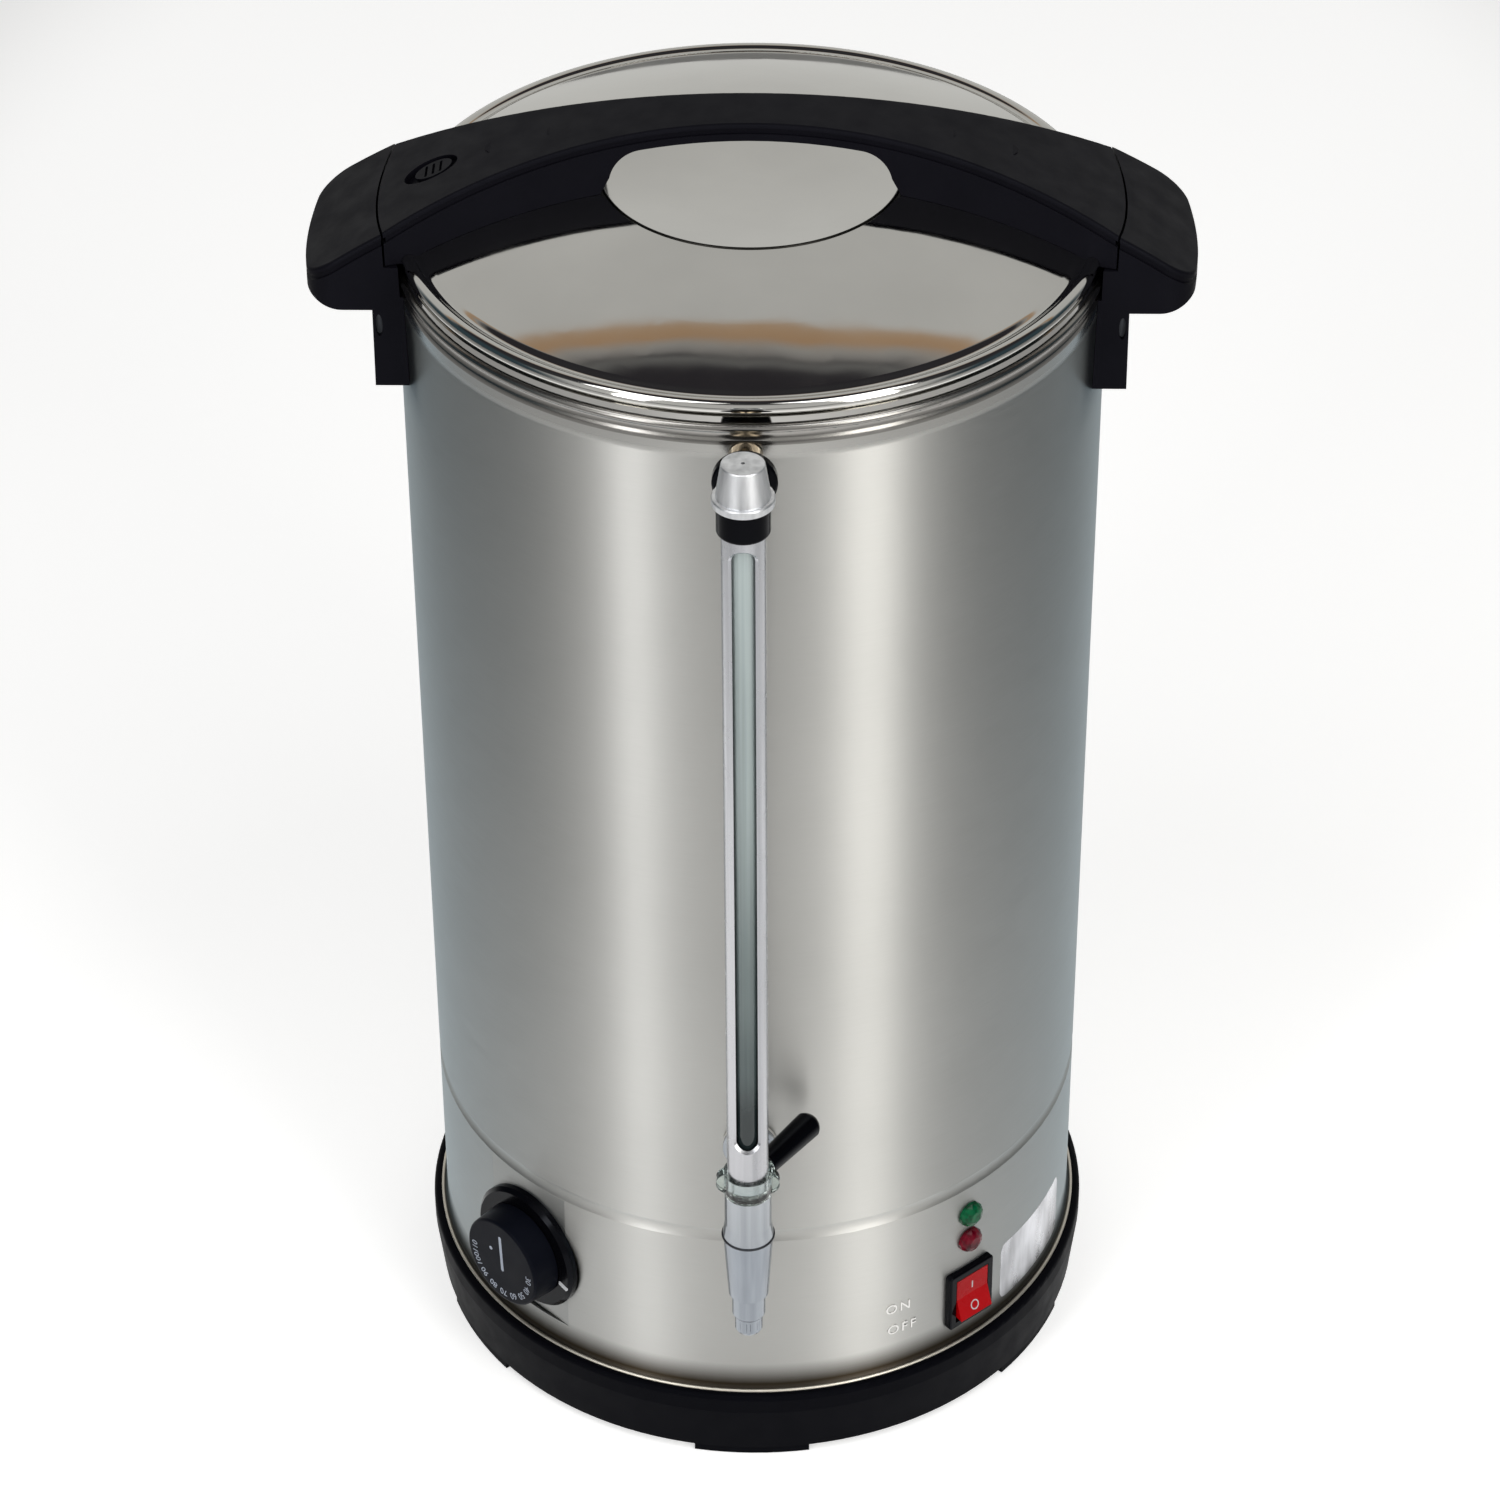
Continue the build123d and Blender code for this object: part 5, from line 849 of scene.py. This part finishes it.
# The lid's hem arc, then its gutter up to the foot of the dome, and back inside the sheet.
HEM_RADIUS = 3.2 * MM
HEM_MIDDLE = 146.2 * MM
HEM_PROUD = 0.05 * MM
GUTTER = [      # mm: distance from the tank's axis, and height over the hem's middle
    (143.2, 2.12), (142.5, 2.02), (142.0, 2.10), (141.5, 2.33), (141.0, 2.62),
    (140.3, 3.05), (139.6, 3.47), (139.0, 3.70), (138.98, 2.9),
]
HEM_INSIDE = [(142.2, 1.3), (144.0, 0.9), (146.2, 0.0)]


def hem_section(bottom):
    """The lid's rolled hem and its gutter, with the gutter's line rounded."""
    middle = bottom + HEM_RADIUS
    section = arc(HEM_MIDDLE, middle, HEM_RADIUS + HEM_PROUD, -60, 135, 26)
    return section + [(r * MM, middle + z * MM) for r, z in GUTTER + HEM_INSIDE]


def trim():
    """The wall's lip over the base, its rolled rim in painted shade, the lid's crease as a painted
    shadow line, and its hem.
    """
    shell_low, shell_high = (corner.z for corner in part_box("tank_shell"))
    lid_low, lid_high = (corner.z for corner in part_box("lid_dome"))
    lip = arc(LIP_RADIUS, shell_low + LIP_SIZE, LIP_SIZE, 0, 330, 11)
    crease = arc(CREASE_RADIUS, lid_high - CREASE_DROP, CREASE_SIZE, 0, 330, 11)
    turned("wall_lip", lip, "urn", "lip_steel")
    turned("rolled_rim", rim_section(shell_high), "urn", "rim_shade_steel")
    turned("dish_crease_shadow", crease, "lid", "crease_shadow_steel")
    turned("lid_hem", hem_section(lid_low), "lid", "polished_steel")


# ---- side handles -----------------------------------------------------------------------------
NOTCH_PLACE = Vector((155.0, 42.0, 546.0)) * MM     # of the oval notch in each rib of the legs
NOTCH_HALF = 1.46 * MM, 4.96 * MM
NOTCH_RINGS = [(1.0, 3.0), (1.0, 1.5), (0.7, 1.9), (0.3, 2.1)]      # share of its size, depth in mm
NOTCH_STEPS = 24


def notch_floors():
    """The dished floors of the oval notches in the legs' ribs, in the handles' black painted
    lighter: a painted highlight.
    """
    shape = bmesh.new()
    turns = circle_turns(NOTCH_STEPS)
    oval = [Vector((NOTCH_HALF[0] * cos(a), 0, NOTCH_HALF[1] * sin(a))) for a in turns]
    for side, face in ((-1, -1), (-1, 1), (1, -1), (1, 1)):
        rings = []
        for share, depth in NOTCH_RINGS:
            inward = face * (NOTCH_PLACE.y - depth * MM)
            middle = Vector((side * NOTCH_PLACE.x, inward, NOTCH_PLACE.z))
            rings.append([shape.verts.new(middle + across * share) for across in oval])
        for near, far in zip(rings, rings[1:]):
            bridge(shape, near, far)
        shape.faces.new(rings[0])
        shape.faces.new(rings[-1])
    notch_highlight = FINISHES["notch_highlight_plastic"]
    smooth_piece("leg_notch_floors", shape, "urn", notch_highlight)


# ---- lamps ------------------------------------------------------------------------------------
LENS_SIDES = 12
# A lens's rings in mm, radius and height off the wall: its stem and edge, then its facets.
LENS_STEM = [(4.9, -20.0), (4.9, 0.05), (6.4, 0.05), (6.4, 1.6)]
LENS_CUT = [(5.2, 3.5), (2.9, 4.5)]


def cut_lens(name, slot):
    """A lamp's lens, cut into facets that are offset from ring to ring."""
    low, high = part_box(name)
    height = (low.z + high.z) / 2
    out, right = direction(PANEL_AZIMUTH), direction(PANEL_AZIMUTH + pi / 2)
    shape = bmesh.new()
    rings = []
    for number, (radius, proud) in enumerate(LENS_STEM + LENS_CUT, 1 - len(LENS_STEM)):
        turns = circle_turns(LENS_SIDES, 0.5 * max(number, 0))
        across = [Vector((radius * cos(a), radius * sin(a))) * MM for a in turns]
        base = out * (TANK_RADIUS + proud * MM) + Vector((0, 0, height))
        rings.append([shape.verts.new(base + right * p.x + Vector((0, 0, p.y))) for p in across])
    stem = len(LENS_STEM)
    for near, far in zip(rings[:stem], rings[1:stem]):
        bridge(shape, near, far)
    for near, far in zip(rings[stem - 1:], rings[stem:]):
        for i in range(LENS_SIDES):
            j = (i + 1) % LENS_SIDES
            shape.faces.new((near[i], near[j], far[i]))
            shape.faces.new((near[j], far[j], far[i]))
    shape.faces.new(rings[0])
    shape.faces.new(rings[-1])
    lens_name = name + "_lens"
    piece = make_piece(lens_name, mesh_of(lens_name, shape), "urn", FINISHES[slot])
    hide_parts(name)


# ---- run --------------------------------------------------------------------------------------
bpy.context.scene.view_settings.view_transform = "Standard"
make_camera()
for light in LIGHTS:
    soft_light(*light)
make_world()
make_floor()
dress_nodes()
mark_dial()
mark_switch()
stick_foil()
slotted_guard()
trim()
notch_floors()
cut_lens("lamp_green", "green_lens")
cut_lens("lamp_red", "red_lens")
